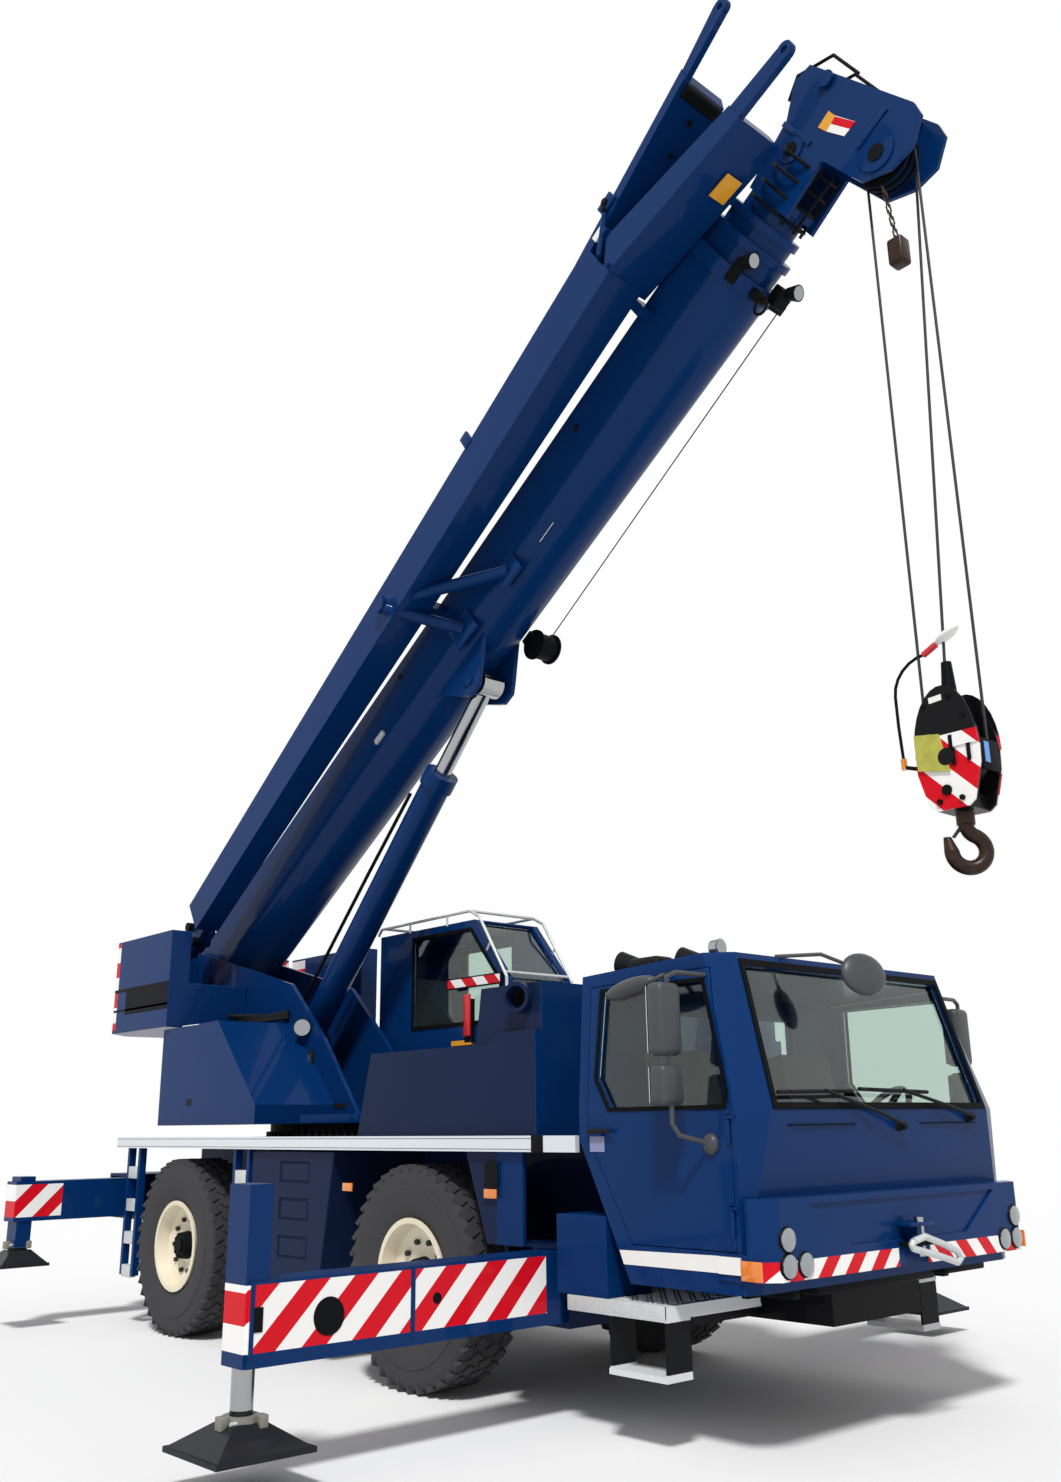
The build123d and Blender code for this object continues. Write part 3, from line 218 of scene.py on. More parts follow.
# hazard stripes: red and white sheeting inside bands of a painted piece, slanting the same way on both sides
def stripedFinish(name, direction, pitchMm, shiftMm, bands, baseCode=navyCode, baseCoat=0.14):
    finish, tree, shader = newFinish(name, baseCode, hazard["roughness"], coat=baseCoat, **dullSheen)
    place = objectPlace(tree)
    folded = addNode(tree, "ShaderNodeVectorMath", {"operation": "ABSOLUTE"}, {0: place}).outputs["Vector"]
    slant = addNode(tree, "ShaderNodeVectorMath", {"operation": "DOT_PRODUCT", 1: direction}, {0: folded})
    moved = addNode(tree, "ShaderNodeMath", {"operation": "SUBTRACT", 1: shiftMm * mm},
                    {0: slant.outputs["Value"]})
    turns = addNode(tree, "ShaderNodeMath", {"operation": "DIVIDE", 1: pitchMm * mm}, {0: moved.outputs[0]})
    part = addNode(tree, "ShaderNodeMath", {"operation": "FRACT"}, {0: turns.outputs[0]})
    isRed = addNode(tree, "ShaderNodeMath", {"operation": "LESS_THAN", 1: 0.5}, {0: part.outputs[0]})
    stripes = addNode(tree, "ShaderNodeMix", {"data_type": "RGBA", 6: hexColor(hazard["white"]),
                                              7: hexColor(hazard["red"])}, {0: isRed.outputs[0]})
    inside = maskAll(tree, [maskBand(tree, folded if axis == "Y" else place, axis, low, high)
                            for axis, low, high in bands])
    paint = addNode(tree, "ShaderNodeMix", {"data_type": "RGBA", 6: hexColor(baseCode)},
                    {0: inside, 7: stripes.outputs[2]})
    tree.links.new(paint.outputs[2], shader.inputs["Base Color"])
    return finish


# two finishes on one piece, parted along an axis
def partedFinish(name, axis, low, high, code, outerCode, roughness, metallic=0.0):
    finish, tree, shader = newFinish(name, outerCode, roughness, coat=0.06, **dullSheen)
    inside = maskBand(tree, objectPlace(tree), axis, low, high)
    tint = addNode(tree, "ShaderNodeMix", {"data_type": "RGBA", 6: hexColor(outerCode), 7: hexColor(code)},
                   {0: inside})
    tree.links.new(tint.outputs[2], shader.inputs["Base Color"])
    if metallic:
        shine = addNode(tree, "ShaderNodeMath", {"operation": "MULTIPLY", 1: metallic}, {0: inside})
        tree.links.new(shine.outputs[0], shader.inputs["Metallic"])
    return finish


def wear(finish, *names):
    for name in names:
        mesh = nodes[name].data
        mesh.materials.clear()
        mesh.materials.append(finish)


corners = [(axle, side) for axle in ("front", "rear") for side in ("right", "left")]
sideSign = {"right": -1, "left": 1}

wear(navyEnamel, "cab_shell", "door_right", "door_left", "slewing_platform", "crane_cab_shell",
     "crane_cab_door", "luff_barrel", "boom_base", "tele_1", "tele_2", "tele_3", "jib", "ladders")
# the deck's darker greyer navy is painted shade
wear(shadedNavySatin, "deck")
wear(blackPaint, "slew_ring", "axles", "winch")
wear(tintedGlass, "cab_glass", "door_right_glass", "door_left_glass", "crane_cab_glass",
     "crane_cab_door_glass")
wear(seatCloth, "cab_interior", "crane_cab_seat")
# black legs between the galvanised step plates
wear(partedFinish("steppedZinc", "Z", 0.378, 0.622, "#121316", "#d3d8d8", 0.42), "cab_steps")
# painted shade: frame black ahead of the wheels and darker navy behind, lockers and hood greyer navy behind
wear(partedFinish("chassisPaintedShade", "X", 4.2, 6.0, "#0d0e11", "#061d42", 0.4), "chassis_frame")
wear(partedFinish("lockerPaintedShade", "X", 3.5, 6.0, navyCode, "#142240", 0.42), "side_boxes")
wear(partedFinish("hoodPaintedShade", "X", 3.815, 6.0, navyCode, "#142240", 0.42), "engine_hood")
wear(railAlloy, "deck_rails")
wear(castIron, "engine_block")
wear(hardChrome, "luff_rod")
wear(clearLens, "lamps")
wear(ropeSteel, "rope_falls")
wear(forgedSteel, "hook")
wear(stripedFinish("bumperHazardSheet", (0, 1, 1), 230, 0,
                   [("X", 5.4, 6.0), ("Y", 0.14, 1.25), ("Z", 0.5, 0.948)]), "bumper")
wear(stripedFinish("tailHazardSheet", (0, 1, -1), 290, 0,
                   [("X", -3.0, -2.335), ("Y", 0.7, 1.3), ("Z", 2.53, 3.36)]), "counterweight")
blockSheet = stripedFinish("blockHazardSheet", (1, 0, 1), 300, 60, [("Y", 0.11, 0.1355), ("Z", 3.2, 3.70)],
                           "#141416", 0.1)
wear(blockSheet, "hook_block")
for axle, side in corners:
    tag = f"{axle}_{side}"
    wear(blackPaint, "knuckle_" + tag)
    wear(creamEnamel, "rim_" + tag)
    # chromed rod above a black pad
    wear(partedFinish("chromedJack_" + tag, "Z", hazard[axle + "PadTop"], hazard["jackTop"], "#a3a5a7",
                      "#24272b", 0.14, 1.0), "jack_" + tag)
    bands = [("Y", *hazard[axle + "Reach"]), ("Z", *hazard[axle + "Height"])]
    wear(stripedFinish("hazardSheet_" + tag, (0, 1, 1), hazard["pitch"], hazard["beamShift"], bands),
         "outrigger_beam_" + tag)
print("finishes set")

# rounded edges on the sheet-metal pieces, so that they catch the light
rounding = {"width": 0.009, "segments": 3, "angle": 38, "seam": 0.00005,
            "nodes": ("cab_shell", "door_right", "door_left", "bumper", "engine_hood", "slewing_platform",
                      "counterweight", "crane_cab_shell", "side_boxes", "crane_cab_door", "jib", "boom_base")}


def roundEdges(node):
    piece = nodes[node]
    join = piece.modifiers.new("joinSeams", "WELD")
    join.merge_threshold = rounding["seam"]
    edge = piece.modifiers.new("roundedEdges", "BEVEL")
    edge.width = rounding["width"]
    edge.segments = rounding["segments"]
    edge.limit_method = "ANGLE"
    edge.angle_limit = math.radians(rounding["angle"])
    edge.use_clamp_overlap = True
    edge.harden_normals = False


for node in rounding["nodes"]:
    roundEdges(node)


# shapes that the pieces are made of
def setSlot(verts, slot):
    for face in {face for vert in verts for face in vert.link_faces}:
        face.material_index = slot


def addBox(shape, start, end, slot=0, soft=0.0, turn=None):
    start, end = Vector(start), Vector(end)
    size = [abs(side) for side in end - start]
    place = Matrix.Translation((start + end) / 2) @ (turn or Matrix()) @ Matrix.Diagonal((*size, 1))
    verts = bmesh.ops.create_cube(shape, size=1, matrix=place)["verts"]
    setSlot(verts, slot)
    if soft:
        edges = list({edge for vert in verts for edge in vert.link_edges})
        bmesh.ops.bevel(shape, geom=edges, offset=soft, offset_type="OFFSET", affect="EDGES", segments=3,
                        profile=0.5, material=-1)


def addRod(shape, start, end, radius, slot=0, tip=None, sides=20):
    start, end = Vector(start), Vector(end)
    span = end - start
    place = Matrix.Translation((start + end) / 2) @ span.to_track_quat("Z", "Y").to_matrix().to_4x4()
    made = bmesh.ops.create_cone(shape, cap_ends=True, segments=sides, radius1=radius,
                                 radius2=radius if tip is None else tip, depth=span.length, matrix=place)
    setSlot(made["verts"], slot)


def addBall(shape, place, radius, slot=0, stretch=(1, 1, 1), turn=None, sides=(24, 14)):
    matrix = Matrix.Translation(place) @ (turn or Matrix()) @ Matrix.Diagonal((*stretch, 1))
    made = bmesh.ops.create_uvsphere(shape, u_segments=sides[0], v_segments=sides[1], radius=radius,
                                     matrix=matrix)
    setSlot(made["verts"], slot)


def addPath(shape, points, radius, slot=0, sides=14):
    for start, end in zip(points, points[1:]):
        addRod(shape, start, end, radius, slot, sides=sides)
    for point in points[1:-1]:
        addBall(shape, point, radius, slot, sides=(sides, 8))


def pushFaces(shape, faces, depth, slot):
    made = bmesh.ops.extrude_face_region(shape, geom=faces)["geom"]
    verts = [part for part in made if isinstance(part, bmesh.types.BMVert)]
    bmesh.ops.translate(shape, verts=verts, vec=depth)
    setSlot(verts, slot)
    for face in faces:
        face.material_index = slot


def addPlate(shape, points, depth, slot=0):
    face = shape.faces.new([shape.verts.new(point) for point in points])
    pushFaces(shape, [face], depth, slot)


# a flat frame round an opening: the outline is inset, its middle taken out and the rest given depth
def addFrame(shape, points, width, depth, slot=0):
    face = shape.faces.new([shape.verts.new(point) for point in points])
    face.normal_update()
    rim = bmesh.ops.inset_region(shape, faces=[face], thickness=width, use_even_offset=True,
                                 use_boundary=True)["faces"]
    bmesh.ops.delete(shape, geom=[face], context="FACES_ONLY")
    pushFaces(shape, rim, depth, slot)


# rods in one line, each from one distance to another along the line
def addRings(shape, place, facing, rings):
    place, facing = Vector(place), Vector(facing).normalized()
    for start, end, *more in rings:
        addRod(shape, place + facing * start, place + facing * end, *more)


# what a dictionary lists: boxes (two corners, slot, rounding), rods (two ends, radius, slot, tip, sides),
# balls (centre, radius, slot, stretch, turn), paths (points, radius, slot, sides), upright plates
# (y, depth, outline in x and z, slot) and pair, which holds such lists for what stands on both sides
def addParts(shape, parts, flip=1, shift=(0, 0, 0)):
    def moved(point):
        return Vector((point[0], flip * point[1], point[2])) + Vector(shift)
    for start, end, *more in parts.get("boxes", ()):
        addBox(shape, moved(start), moved(end), *more)
    for start, end, *more in parts.get("rods", ()):
        addRod(shape, moved(start), moved(end), *more)
    for centre, *more in parts.get("balls", ()):
        addBall(shape, moved(centre), *more)
    for points, *more in parts.get("paths", ()):
        addPath(shape, [moved(point) for point in points], *more)
    for y, depth, outline, *more in parts.get("plates", ()):
        addPlate(shape, [moved((x, y, z)) for x, z in outline], (0, flip * depth, 0), *more)
    if "pair" in parts:
        for sign in (-1, 1):
            addParts(shape, parts["pair"], sign, shift)


def makePiece(name, body, finishes, build, replaced=(), place=None, sharp=35, span=None):
    shape = bmesh.new()
    if isinstance(build, dict):
        addParts(shape, build)
    else:
        build(shape)
    if place is not None:
        bmesh.ops.transform(shape, matrix=place, verts=shape.verts)
    bmesh.ops.recalc_face_normals(shape, faces=shape.faces)
    mesh = bpy.data.meshes.new(name)
    shape.to_mesh(mesh)
    shape.free()
    for finish in finishes:
        mesh.materials.append(finish)
    mesh.shade_smooth()
    mesh.set_sharp_from_angle(angle=math.radians(sharp))
    piece = bpy.data.objects.new(name, mesh)
    scene.collection.objects.link(piece)
    if span:  # body holds two names and span two points; the piece is only baked in place
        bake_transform(piece)
    else:
        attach(piece, body)
    if replaced:
        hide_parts(*replaced)


mirrorY = Matrix.Diagonal((1, -1, 1, 1))
sidePlace = {"right": None, "left": mirrorY}


def arc(start, stop, step):
    return [(math.cos(math.radians(turn)), math.sin(math.radians(turn))) for turn in range(start, stop, step)]


# tyres: a spun carcass, by radius and half width, with rows of slanted lugs
tyre = {"radius": 0.685, "centreY": 1.055, "axleX": {"front": 2.62, "rear": -0.65}, "steps": 96,
        "pitches": 40, "lug": (0.074, 0.072, 0.036), "lugTop": 0.6832,
        "lugRows": ((-0.142, 26), (-0.05, -34), (0.05, 34), (0.142, -26)),
        "profile": ((0.351, 0.160), (0.385, 0.172), (0.44, 0.186), (0.50, 0.192), (0.545, 0.1915),
                    (0.55, 0.186), (0.60, 0.183), (0.64, 0.180), (0.662, 0.168), (0.670, 0.142),
                    (0.673, 0.06))}


def buildTyre(x, sign):
    def build(shape):
        profile = list(tyre["profile"])
        profile += [(radius, -across) for radius, across in reversed(profile)]
        ring = [shape.verts.new((0, across, radius)) for radius, across in profile]
        edges = [shape.edges.new((a, b)) for a, b in zip(ring, ring[1:] + ring[:1])]
        bmesh.ops.spin(shape, geom=ring + edges, cent=(0, 0, 0), axis=(0, 1, 0), angle=math.tau,
                       steps=tyre["steps"], use_merge=True)
        long, wide, tall = tyre["lug"]
        for number in range(tyre["pitches"]):
            for row, (across, slant) in enumerate(tyre["lugRows"]):
                angle = math.tau * (number + (0.5 if row % 2 else 0.0)) / tyre["pitches"]
                place = (Matrix.Rotation(angle, 4, "Y")
                         @ Matrix.Translation((0, across, tyre["lugTop"] - tall / 2))
                         @ Matrix.Rotation(math.radians(slant), 4, "Z")
                         @ Matrix.Diagonal((long, wide, tall, 1)))
                bmesh.ops.create_cube(shape, size=1, matrix=place)
        bmesh.ops.translate(shape, verts=shape.verts, vec=(x, sign * tyre["centreY"], tyre["radius"]))
    return build


# hub drum, cap, bolts and nuts: radius, tip radius, and start and end as seen from the tyre's middle
hub = {"drum": (0.112, 0.1, (0.055, 0.132)), "cap": (0.055, 0.055, (0.132, 0.150)), "count": 10,
       "boltRing": 0.088, "bolt": (0.009, 0.009, (0.130, 0.141)),
       "nutRing": 0.205, "nut": (0.018, 0.018, (0.05, 0.088))}


def buildHub(x, sign):
    def build(shape):
        def addTurned(key, ring, angle, slot, sides):
            radius, tip, depth = hub[key]
            ends = [(x + ring * math.cos(angle), sign * (tyre["centreY"] + out),
                     tyre["radius"] + ring * math.sin(angle)) for out in depth]
            addRod(shape, *ends, radius, slot, tip, sides)
        addTurned("drum", 0, 0, 0, 40)
        addTurned("cap", 0, 0, 0, 28)
        for number in range(hub["count"]):
            angle = math.tau * number / hub["count"]
            addTurned("bolt", hub["boltRing"], angle, 0, 6)
            addTurned("nut", hub["nutRing"], angle, 1, 6)
    return build


for axle, side in corners:
    tag = f"{axle}_{side}"
    place = tyre["axleX"][axle], sideSign[side]
    makePiece("treadedTyre_" + tag, "wheel_" + tag, [tyreRubber], buildTyre(*place), ["tyre_" + tag])
    makePiece("wheelHub_" + tag, "wheel_" + tag, [blackPaint, castIron], buildHub(*place))
print("wheels dressed")

# windscreen: places on it are across and up from its foot, and out from the glass
screen = {"foot": (5.48, 0, 1.665), "top": (5.245, 0, 2.52), "sealGap": 0.001, "sealWidth": 0.034,
          "sealDepth": 0.008, "outline": ((-1.042, 0.004), (1.042, 0.004), (0.986, 0.828), (-0.986, 0.828))}
screenFoot = Vector(screen["foot"])
screenUp = (Vector(screen["top"]) - screenFoot).normalized()
screenOut = Vector((0, 1, 0)).cross(screenUp)


def screenSpot(y, up, out):
    return screenFoot + screenUp * up + screenOut * out + Vector((0, y, 0))


def buildScreenSeal(shape):
    outline = [screenSpot(y, up, screen["sealGap"]) for y, up in screen["outline"]]
    addFrame(shape, outline, screen["sealWidth"], screenOut * screen["sealDepth"])


# door: upright to its sill, then leaning in more at the front than at the rear
door = {"rear": 4.25, "front": 5.40, "halfWidth": 1.25, "sill": 1.665, "rise": 0.855, "rearLean": 0.06,
        "frontLean": 0.10, "rake": 0.255, "sealGap": 0.001, "sealWidth": 0.022, "sealDepth": 0.006,
        "window": ((4.40, 2.355), (4.37, 1.85), (4.487, 1.672), (5.343, 1.672), (5.35, 1.76), (5.165, 2.36))}


def doorSkin(x, z, out):
    share = max(0.0, (z - door["sill"]) / door["rise"])
    rearY, frontY = (door["halfWidth"] - door[lean] * share for lean in ("rearLean", "frontLean"))
    along = (x - door["rear"]) / (door["front"] - door["rake"] * share - door["rear"])
    return Vector((x, -(rearY + (frontY - rearY) * along) - out, z))


def buildDoorSeal(shape):
    addFrame(shape, [doorSkin(x, z, door["sealGap"]) for x, z in door["window"]], door["sealWidth"],
             Vector((0, -door["sealDepth"], 0)))


wipers = {"pivots": ((0.095, 1.569), (0.836, 1.614)), "footX": 5.47, "boss": (0.03, 0.03, 0.022),
          "elbow": (0.05, 0, 0.01), "armAt": 0.6, "armRise": 0.018, "armBend": (0.35, 0.012), "arm": 0.0105,
          "lift": 0.022, "blade": 0.011, "spine": (0.15, 0.85, 0.01, 0.008),
          "blades": (((-0.997, 1.748), (-0.333, 1.758)), ((-0.265, 1.769), (0.421, 1.757)))}


def buildWipers(shape):
    depth, root, tip = wipers["boss"]
    bendAt, bendRise = wipers["armBend"]
    spineStart, spineEnd, spineRise, spineRadius = wipers["spine"]
    for (pivotY, pivotZ), ends in zip(wipers["pivots"], wipers["blades"]):
        start, end = (screenSpot(y, (z - screenFoot.z) / screenUp.z, wipers["lift"]) for y, z in ends)
        middle = start.lerp(end, wipers["armAt"]) + screenOut * wipers["armRise"]
        foot = Vector((wipers["footX"], pivotY, pivotZ))
        elbow = foot + Vector(wipers["elbow"])
        addRod(shape, foot - Vector((depth, 0, 0)), elbow, root, tip=tip)
        addPath(shape, [elbow, elbow.lerp(middle, bendAt) + screenOut * bendRise, middle], wipers["arm"])
        addRod(shape, start, end, wipers["blade"], sides=8)
        addRod(shape, *(start.lerp(end, at) + screenOut * spineRise for at in (spineStart, spineEnd)),
               spineRadius, sides=8)


# two housings with glass behind, on one bent bar
doorMirror = {
    "boxes": [((5.055, -1.526, 1.941), (5.17, -1.354, 2.317), 0, 0.036),
              ((5.055, -1.526, 1.69), (5.17, -1.354, 1.90), 0, 0.036),
              ((5.052, -1.512, 1.957), (5.057, -1.368, 2.301), 1),
              ((5.052, -1.512, 1.706), (5.057, -1.368, 1.884), 1)],
    "paths": [([(5.172, -1.135, 2.372), (5.15, -1.38, 2.372), (5.14, -1.44, 2.345), (5.14, -1.44, 1.6),
                (5.16, -1.41, 1.545), (5.225, -1.27, 1.505)], 0.013)],
    "balls": [((5.23, -1.25, 1.5), 0.05, 0, (1, 0.75, 1.1))]}
kerbMirror = {
    "balls": [((4.83, -1.39, 2.315), 0.19, 0, (1, 0.36, 0.27), Matrix.Rotation(math.radians(-10), 4, "Y"))],
    "paths": [([(4.93, -1.36, 2.33), (4.93, -1.24, 2.385), (4.9, -1.175, 2.395)], 0.014)]}
mirrorTurn = Vector((0.9, -0.35, 0.2)).normalized().to_track_quat("Z", "Y").to_matrix().to_4x4()
frontMirror = {"balls": [((5.55, -0.24, 2.40), 0.145, 0, (1, 0.86, 0.3), mirrorTurn)],
               "paths": [([(5.23, -0.62, 2.505), (5.40, -0.42, 2.515), (5.53, -0.25, 2.43)], 0.011)]}
# handle and reflective tape
doorTrim = {"boxes": [((4.336, -1.283, 1.555), (4.527, -1.272, 1.58), 0, 0.005),
                      ((4.335, -1.253, 1.457), (4.45, -1.249, 1.545), 1)]}
for side in ("right", "left"):
    body = "cab_door_" + side
    makePiece("doorSeal_" + side, body, [sealRubber], buildDoorSeal, place=sidePlace[side])
    makePiece("doorMirror_" + side, body, [greyPlastic, mirrorGlass], doorMirror, ["mirror_" + side],
              sidePlace[side], sharp=50)
    makePiece("doorTrim_" + side, body, [blackPlastic, greyTape], doorTrim, place=sidePlace[side])
makePiece("kerbMirror", "cab_door_right", [greyPlastic], kerbMirror)
makePiece("screenSeal", "carrier", [sealRubber], buildScreenSeal)
makePiece("wipers", "carrier", [blackPlastic], buildWipers)
makePiece("frontMirror", "carrier", [greyPlastic], frontMirror, sharp=60)

# two horns, placed by their rear ends, and a work lamp
roofFittings = {"horns": ((4.42, -0.92, 0), (4.78, -0.78, 0)),
                "horn": {"boxes": [((0, -0.09, 2.45), (0.26, 0.09, 2.545), 0, 0.04)],
                         "rods": [((0.02, 0, 2.5), (-0.1, -0.02, 2.535), 0.055, 0, 0.07)]},
                "rods": [((5.10, -1.0, 2.535), (5.155, -1.0, 2.535), 0.045, 1, 0.05),
                         ((5.155, -1.0, 2.535), (5.162, -1.0, 2.535), 0.041, 2),
                         ((5.12, -1.0, 2.48), (5.12, -1.0, 2.53), 0.012)]}


def buildRoofFittings(shape):
    addParts(shape, roofFittings)
    for place in roofFittings["horns"]:
        addParts(shape, roofFittings["horn"], shift=place)


makePiece("roofFittings", "carrier", [blackPlastic, hardChrome, clearLens], buildRoofFittings)

# white sill stripes, and black strips of painted shade in the lines pressed in the front panel
sillStripes = {"pair": {
    "plates": [(1.2495, 0.0035, ((4.575, 0.885), (4.545, 0.955), (5.25, 0.967), (5.25, 0.886)))],
    "boxes": [((5.252, 1.2615, 0.886), (5.394, 1.2722, 0.967)),
              # black strips of painted shade in the front panel's pressed lines
              ((5.47, 0.32, 1.585), (5.482, 0.92, 1.591), 1)]}}
makePiece("sillStripes", "carrier", [whiteEnamel, sealRubber], sillStripes)
print("cab dressed")

# bumper: lamp bezels and lenses, indicators, coupling jaw and pin, tow ring and the bars below
lampSpots = ((1.101, 1.049), (1.101, 0.926), (0.966, 0.926))
bumperTrim = {
    "pair": {"rods": [((5.553, y, z), (5.563, y, z), 0.064, 0, 0.058, 32) for y, z in lampSpots],
             "balls": [((5.566, y, z), 0.0517, 1, (0.22, 1, 1)) for y, z in lampSpots],
             "boxes": [((5.395, 1.262, 0.862), (5.525, 1.274, 0.955), 2, 0.004)]},
    "boxes": [((5.55, -0.13, 0.955), (5.64, 0.09, 0.975), 0, 0.006),
              ((5.55, -0.13, 1.055), (5.64, 0.09, 1.075), 5, 0.006),
              ((4.95, -0.75, 0.70), (5.0, 0.75, 0.75), 0, 0.008),
              *(((4.95, y - 0.03, 0.72), (5.3, y + 0.03, 0.78), 0, 0.008) for y in (-0.72, -0.3, 0.3, 0.72)),
              ((5.26, -0.62, 0.735), (5.36, 0.5, 0.845), 0, 0.012),
              ((5.30, 0.52, 0.755), (5.42, 0.95, 0.84), 0, 0.012)],
    "rods": [((5.605, 0.0, 0.90), (5.605, 0.0, 1.1), 0.024, 3)],
    "paths": [([(5.655, -0.15, 0.985), (5.665, -0.05, 1.005), (5.655, 0.14, 0.955), (5.64, 0.30, 0.905),
                (5.635, 0.335, 0.87), (5.64, 0.29, 0.85), (5.655, 0.10, 0.895), (5.655, -0.08, 0.935),
                (5.655, -0.15, 0.95), (5.655, -0.165, 0.97), (5.655, -0.15, 0.985)], 0.018, 4)]}
makePiece("bumperTrim", "carrier", [blackPaint, clearLens, amberLens, hardChrome, zincSteel, navyEnamel],
          bumperTrim, sharp=40)

# deck sides: rail caps, black lines of painted shade in the grooves, side markers, ladder treads,
# rear lamps and plate; the front marks stand further forward on the left, clear of the beam there
deckTrim = {
    "pair": {"boxes": [((3.861, 1.265, 1.449), (3.965, 1.279, 1.549), 0, 0.003),
                       # black lines of painted shade in the rail's grooves
                       *(((-1.8, 1.271, z - 0.0015), (3.861, 1.2762, z + 0.0015), 1) for z in (1.468, 1.529)),
                       ((1.856, 1.249, 1.182), (1.972, 1.262, 1.236), 2, 0.004),
                       *(((x - 0.083, 1.185, z - 0.035), (x + 0.083, 1.2435, z + 0.065), 3, 0.004)
                         for x in (-1.515, 0.395) for z in (0.42, 0.69, 0.96, 1.23)),
                       ((-2.41, 0.62, 0.98), (-2.384, 1.0, 1.1), 4, 0.006)]},
    "boxes": [((-2.395, -0.26, 1.0), (-2.384, 0.26, 1.11), 5, 0.003)],
    "frontMarks": {"boxes": [((3.403, 1.249, 1.182), (3.519, 1.262, 1.236), 2, 0.004),
                             ((3.40, 1.2485, 1.245), (3.525, 1.2525, 1.39))]},
    "leftShift": (0.42, 0, 0)}


def buildDeckTrim(shape):
    addParts(shape, deckTrim)
    addParts(shape, deckTrim["frontMarks"], -1)
    addParts(shape, deckTrim["frontMarks"], 1, deckTrim["leftShift"])


makePiece("deckTrim", "carrier", [blackPaint, blackPlastic, amberLens, zincSteel, redLens, whiteEnamel],
          buildDeckTrim)

# rows of crossed bars on the step plates, and the plates' edges
steps = {"x": (4.17, 4.86), "y": (0.55, 1.26), "pitch": 0.055, "slant": 45, "bar": (0.021, 0.005),
         "height": (0.696, 0.705),
         "pair": {"boxes": [((4.15, 1.262, 0.625), (4.88, 1.2765, 0.704), 0, 0.003)]}}


def buildStepTreads(shape):
    addParts(shape, steps)
    pitch, (long, wide), (low, high) = steps["pitch"], steps["bar"], steps["height"]
    rows, columns = (int((end - start) / pitch) for start, end in (steps["y"], steps["x"]))
    for sign in (-1, 1):
        for row in range(rows):
            for column in range(columns):
                slant = steps["slant"] if (row + column) % 2 else -steps["slant"]
                x = steps["x"][0] + pitch * (column + 0.5)
                y = sign * (steps["y"][0] + pitch * (row + 0.5))
                addBox(shape, (x - long, y - wide, low), (x + long, y + wide, high),
                       turn=Matrix.Rotation(math.radians(slant), 4, "Z"))


makePiece("stepTreads", "carrier", [zincSteel], buildStepTreads)

intake = {"mouth": (3.655, -1.1, 2.37), "facing": (0.42, -0.9, 0.0),
          "rings": ((-0.28, 0, 0.088, 0, None, 32), (0, 0.004, 0.072, 1, None, 32),
                    (-0.03, 0.002, 0.096, 0, None, 32))}


def buildIntake(shape):
    addRings(shape, intake["mouth"], intake["facing"], intake["rings"])


makePiece("airIntake", "carrier", [blackPlastic, sealRubber], buildIntake)
print("carrier dressed")

# front outrigger beams: disc, stud, joint bar, end post and catch
beamTrim = {"rods": [((3.958, -2.71, 0.715), (3.963, -2.71, 0.715), 0.089, 0, None, 40),
                     ((3.958, -2.039, 0.737), (3.963, -2.039, 0.737), 0.028)],
            "boxes": [((3.958, -2.211, 0.56), (3.963, -2.183, 0.9), 1),
                      ((3.958, -3.152, 0.56), (3.963, -3.128, 0.9), 1),
                      ((3.958, -3.132, 0.681), (3.964, -3.082, 0.791))]}
beamPlace = {"right": None, "left": Matrix.Translation((-0.27, 0, 0)) @ mirrorY}
for side in ("right", "left"):
    makePiece("beamTrim_" + side, "beam_front_" + side, [blackPaint, navyEnamel], beamTrim,
              place=beamPlace[side])

# jacks: collar clamps with three lugs, turned so that none points at the frame, and a pin
jackClamp = {"front": {"x": {"right": 3.85, "left": 3.58}, "y": 3.11, "z": 0.272, "rod": 0.06},
             "rear": {"x": {"right": -1.97, "left": -2.24}, "y": 2.03, "z": 0.655, "rod": 0.055},
             "wall": 0.028, "height": 0.045, "middle": 0.022, "lugTurns": (35, 155, 275), "lugReach": 0.045,
             "lugHalf": (0.03, 0.022, 0.03), "lugRounding": 0.005, "pinHalf": 0.09, "pin": 0.01}


def buildClamp(axle, side):
    clamp = jackClamp[axle]
    x, y, z, rod = clamp["x"][side], sideSign[side] * clamp["y"], clamp["z"], clamp["rod"]

    def build(shape):
        addRod(shape, (x, y, z), (x, y, z + jackClamp["height"]), rod + jackClamp["wall"], 0, sides=28)
        middle, reach = z + jackClamp["middle"], rod + jackClamp["lugReach"]
        half, pinHalf = Vector(jackClamp["lugHalf"]), jackClamp["pinHalf"]
        for turn in jackClamp["lugTurns"]:
            angle = math.radians(math.copysign(turn, -y))
            spot = Vector((x + reach * math.cos(angle), y + reach * math.sin(angle), middle))
            addBox(shape, spot - half, spot + half, 0, jackClamp["lugRounding"])
        addRod(shape, (x + rod, y - pinHalf, middle), (x + rod, y + pinHalf, middle), jackClamp["pin"], 1,
               sides=12)
    return build


for axle, side in corners:
    makePiece(f"jackClamp_{axle}_{side}", f"jack_{axle}_{side}", [greyCasting, zincSteel],
              buildClamp(axle, side))
print("outriggers dressed")

# crane cab: front panes, the inner window's seal and the roof rails
craneCab = {"pane": ((1.185, 3.285), (1.612, 2.775), (1.612, 2.51), (1.552, 2.33)), "paneY": (0.522, 1.118),
            "paneDepth": 0.006, "sealY": 0.449, "sealWidth": 0.032, "sealDepth": 0.006,
            "window": ((0.315, 2.425), (0.315, 3.255), (1.168, 3.255), (1.575, 2.765), (1.575, 2.515),
                       (1.53, 2.425))}


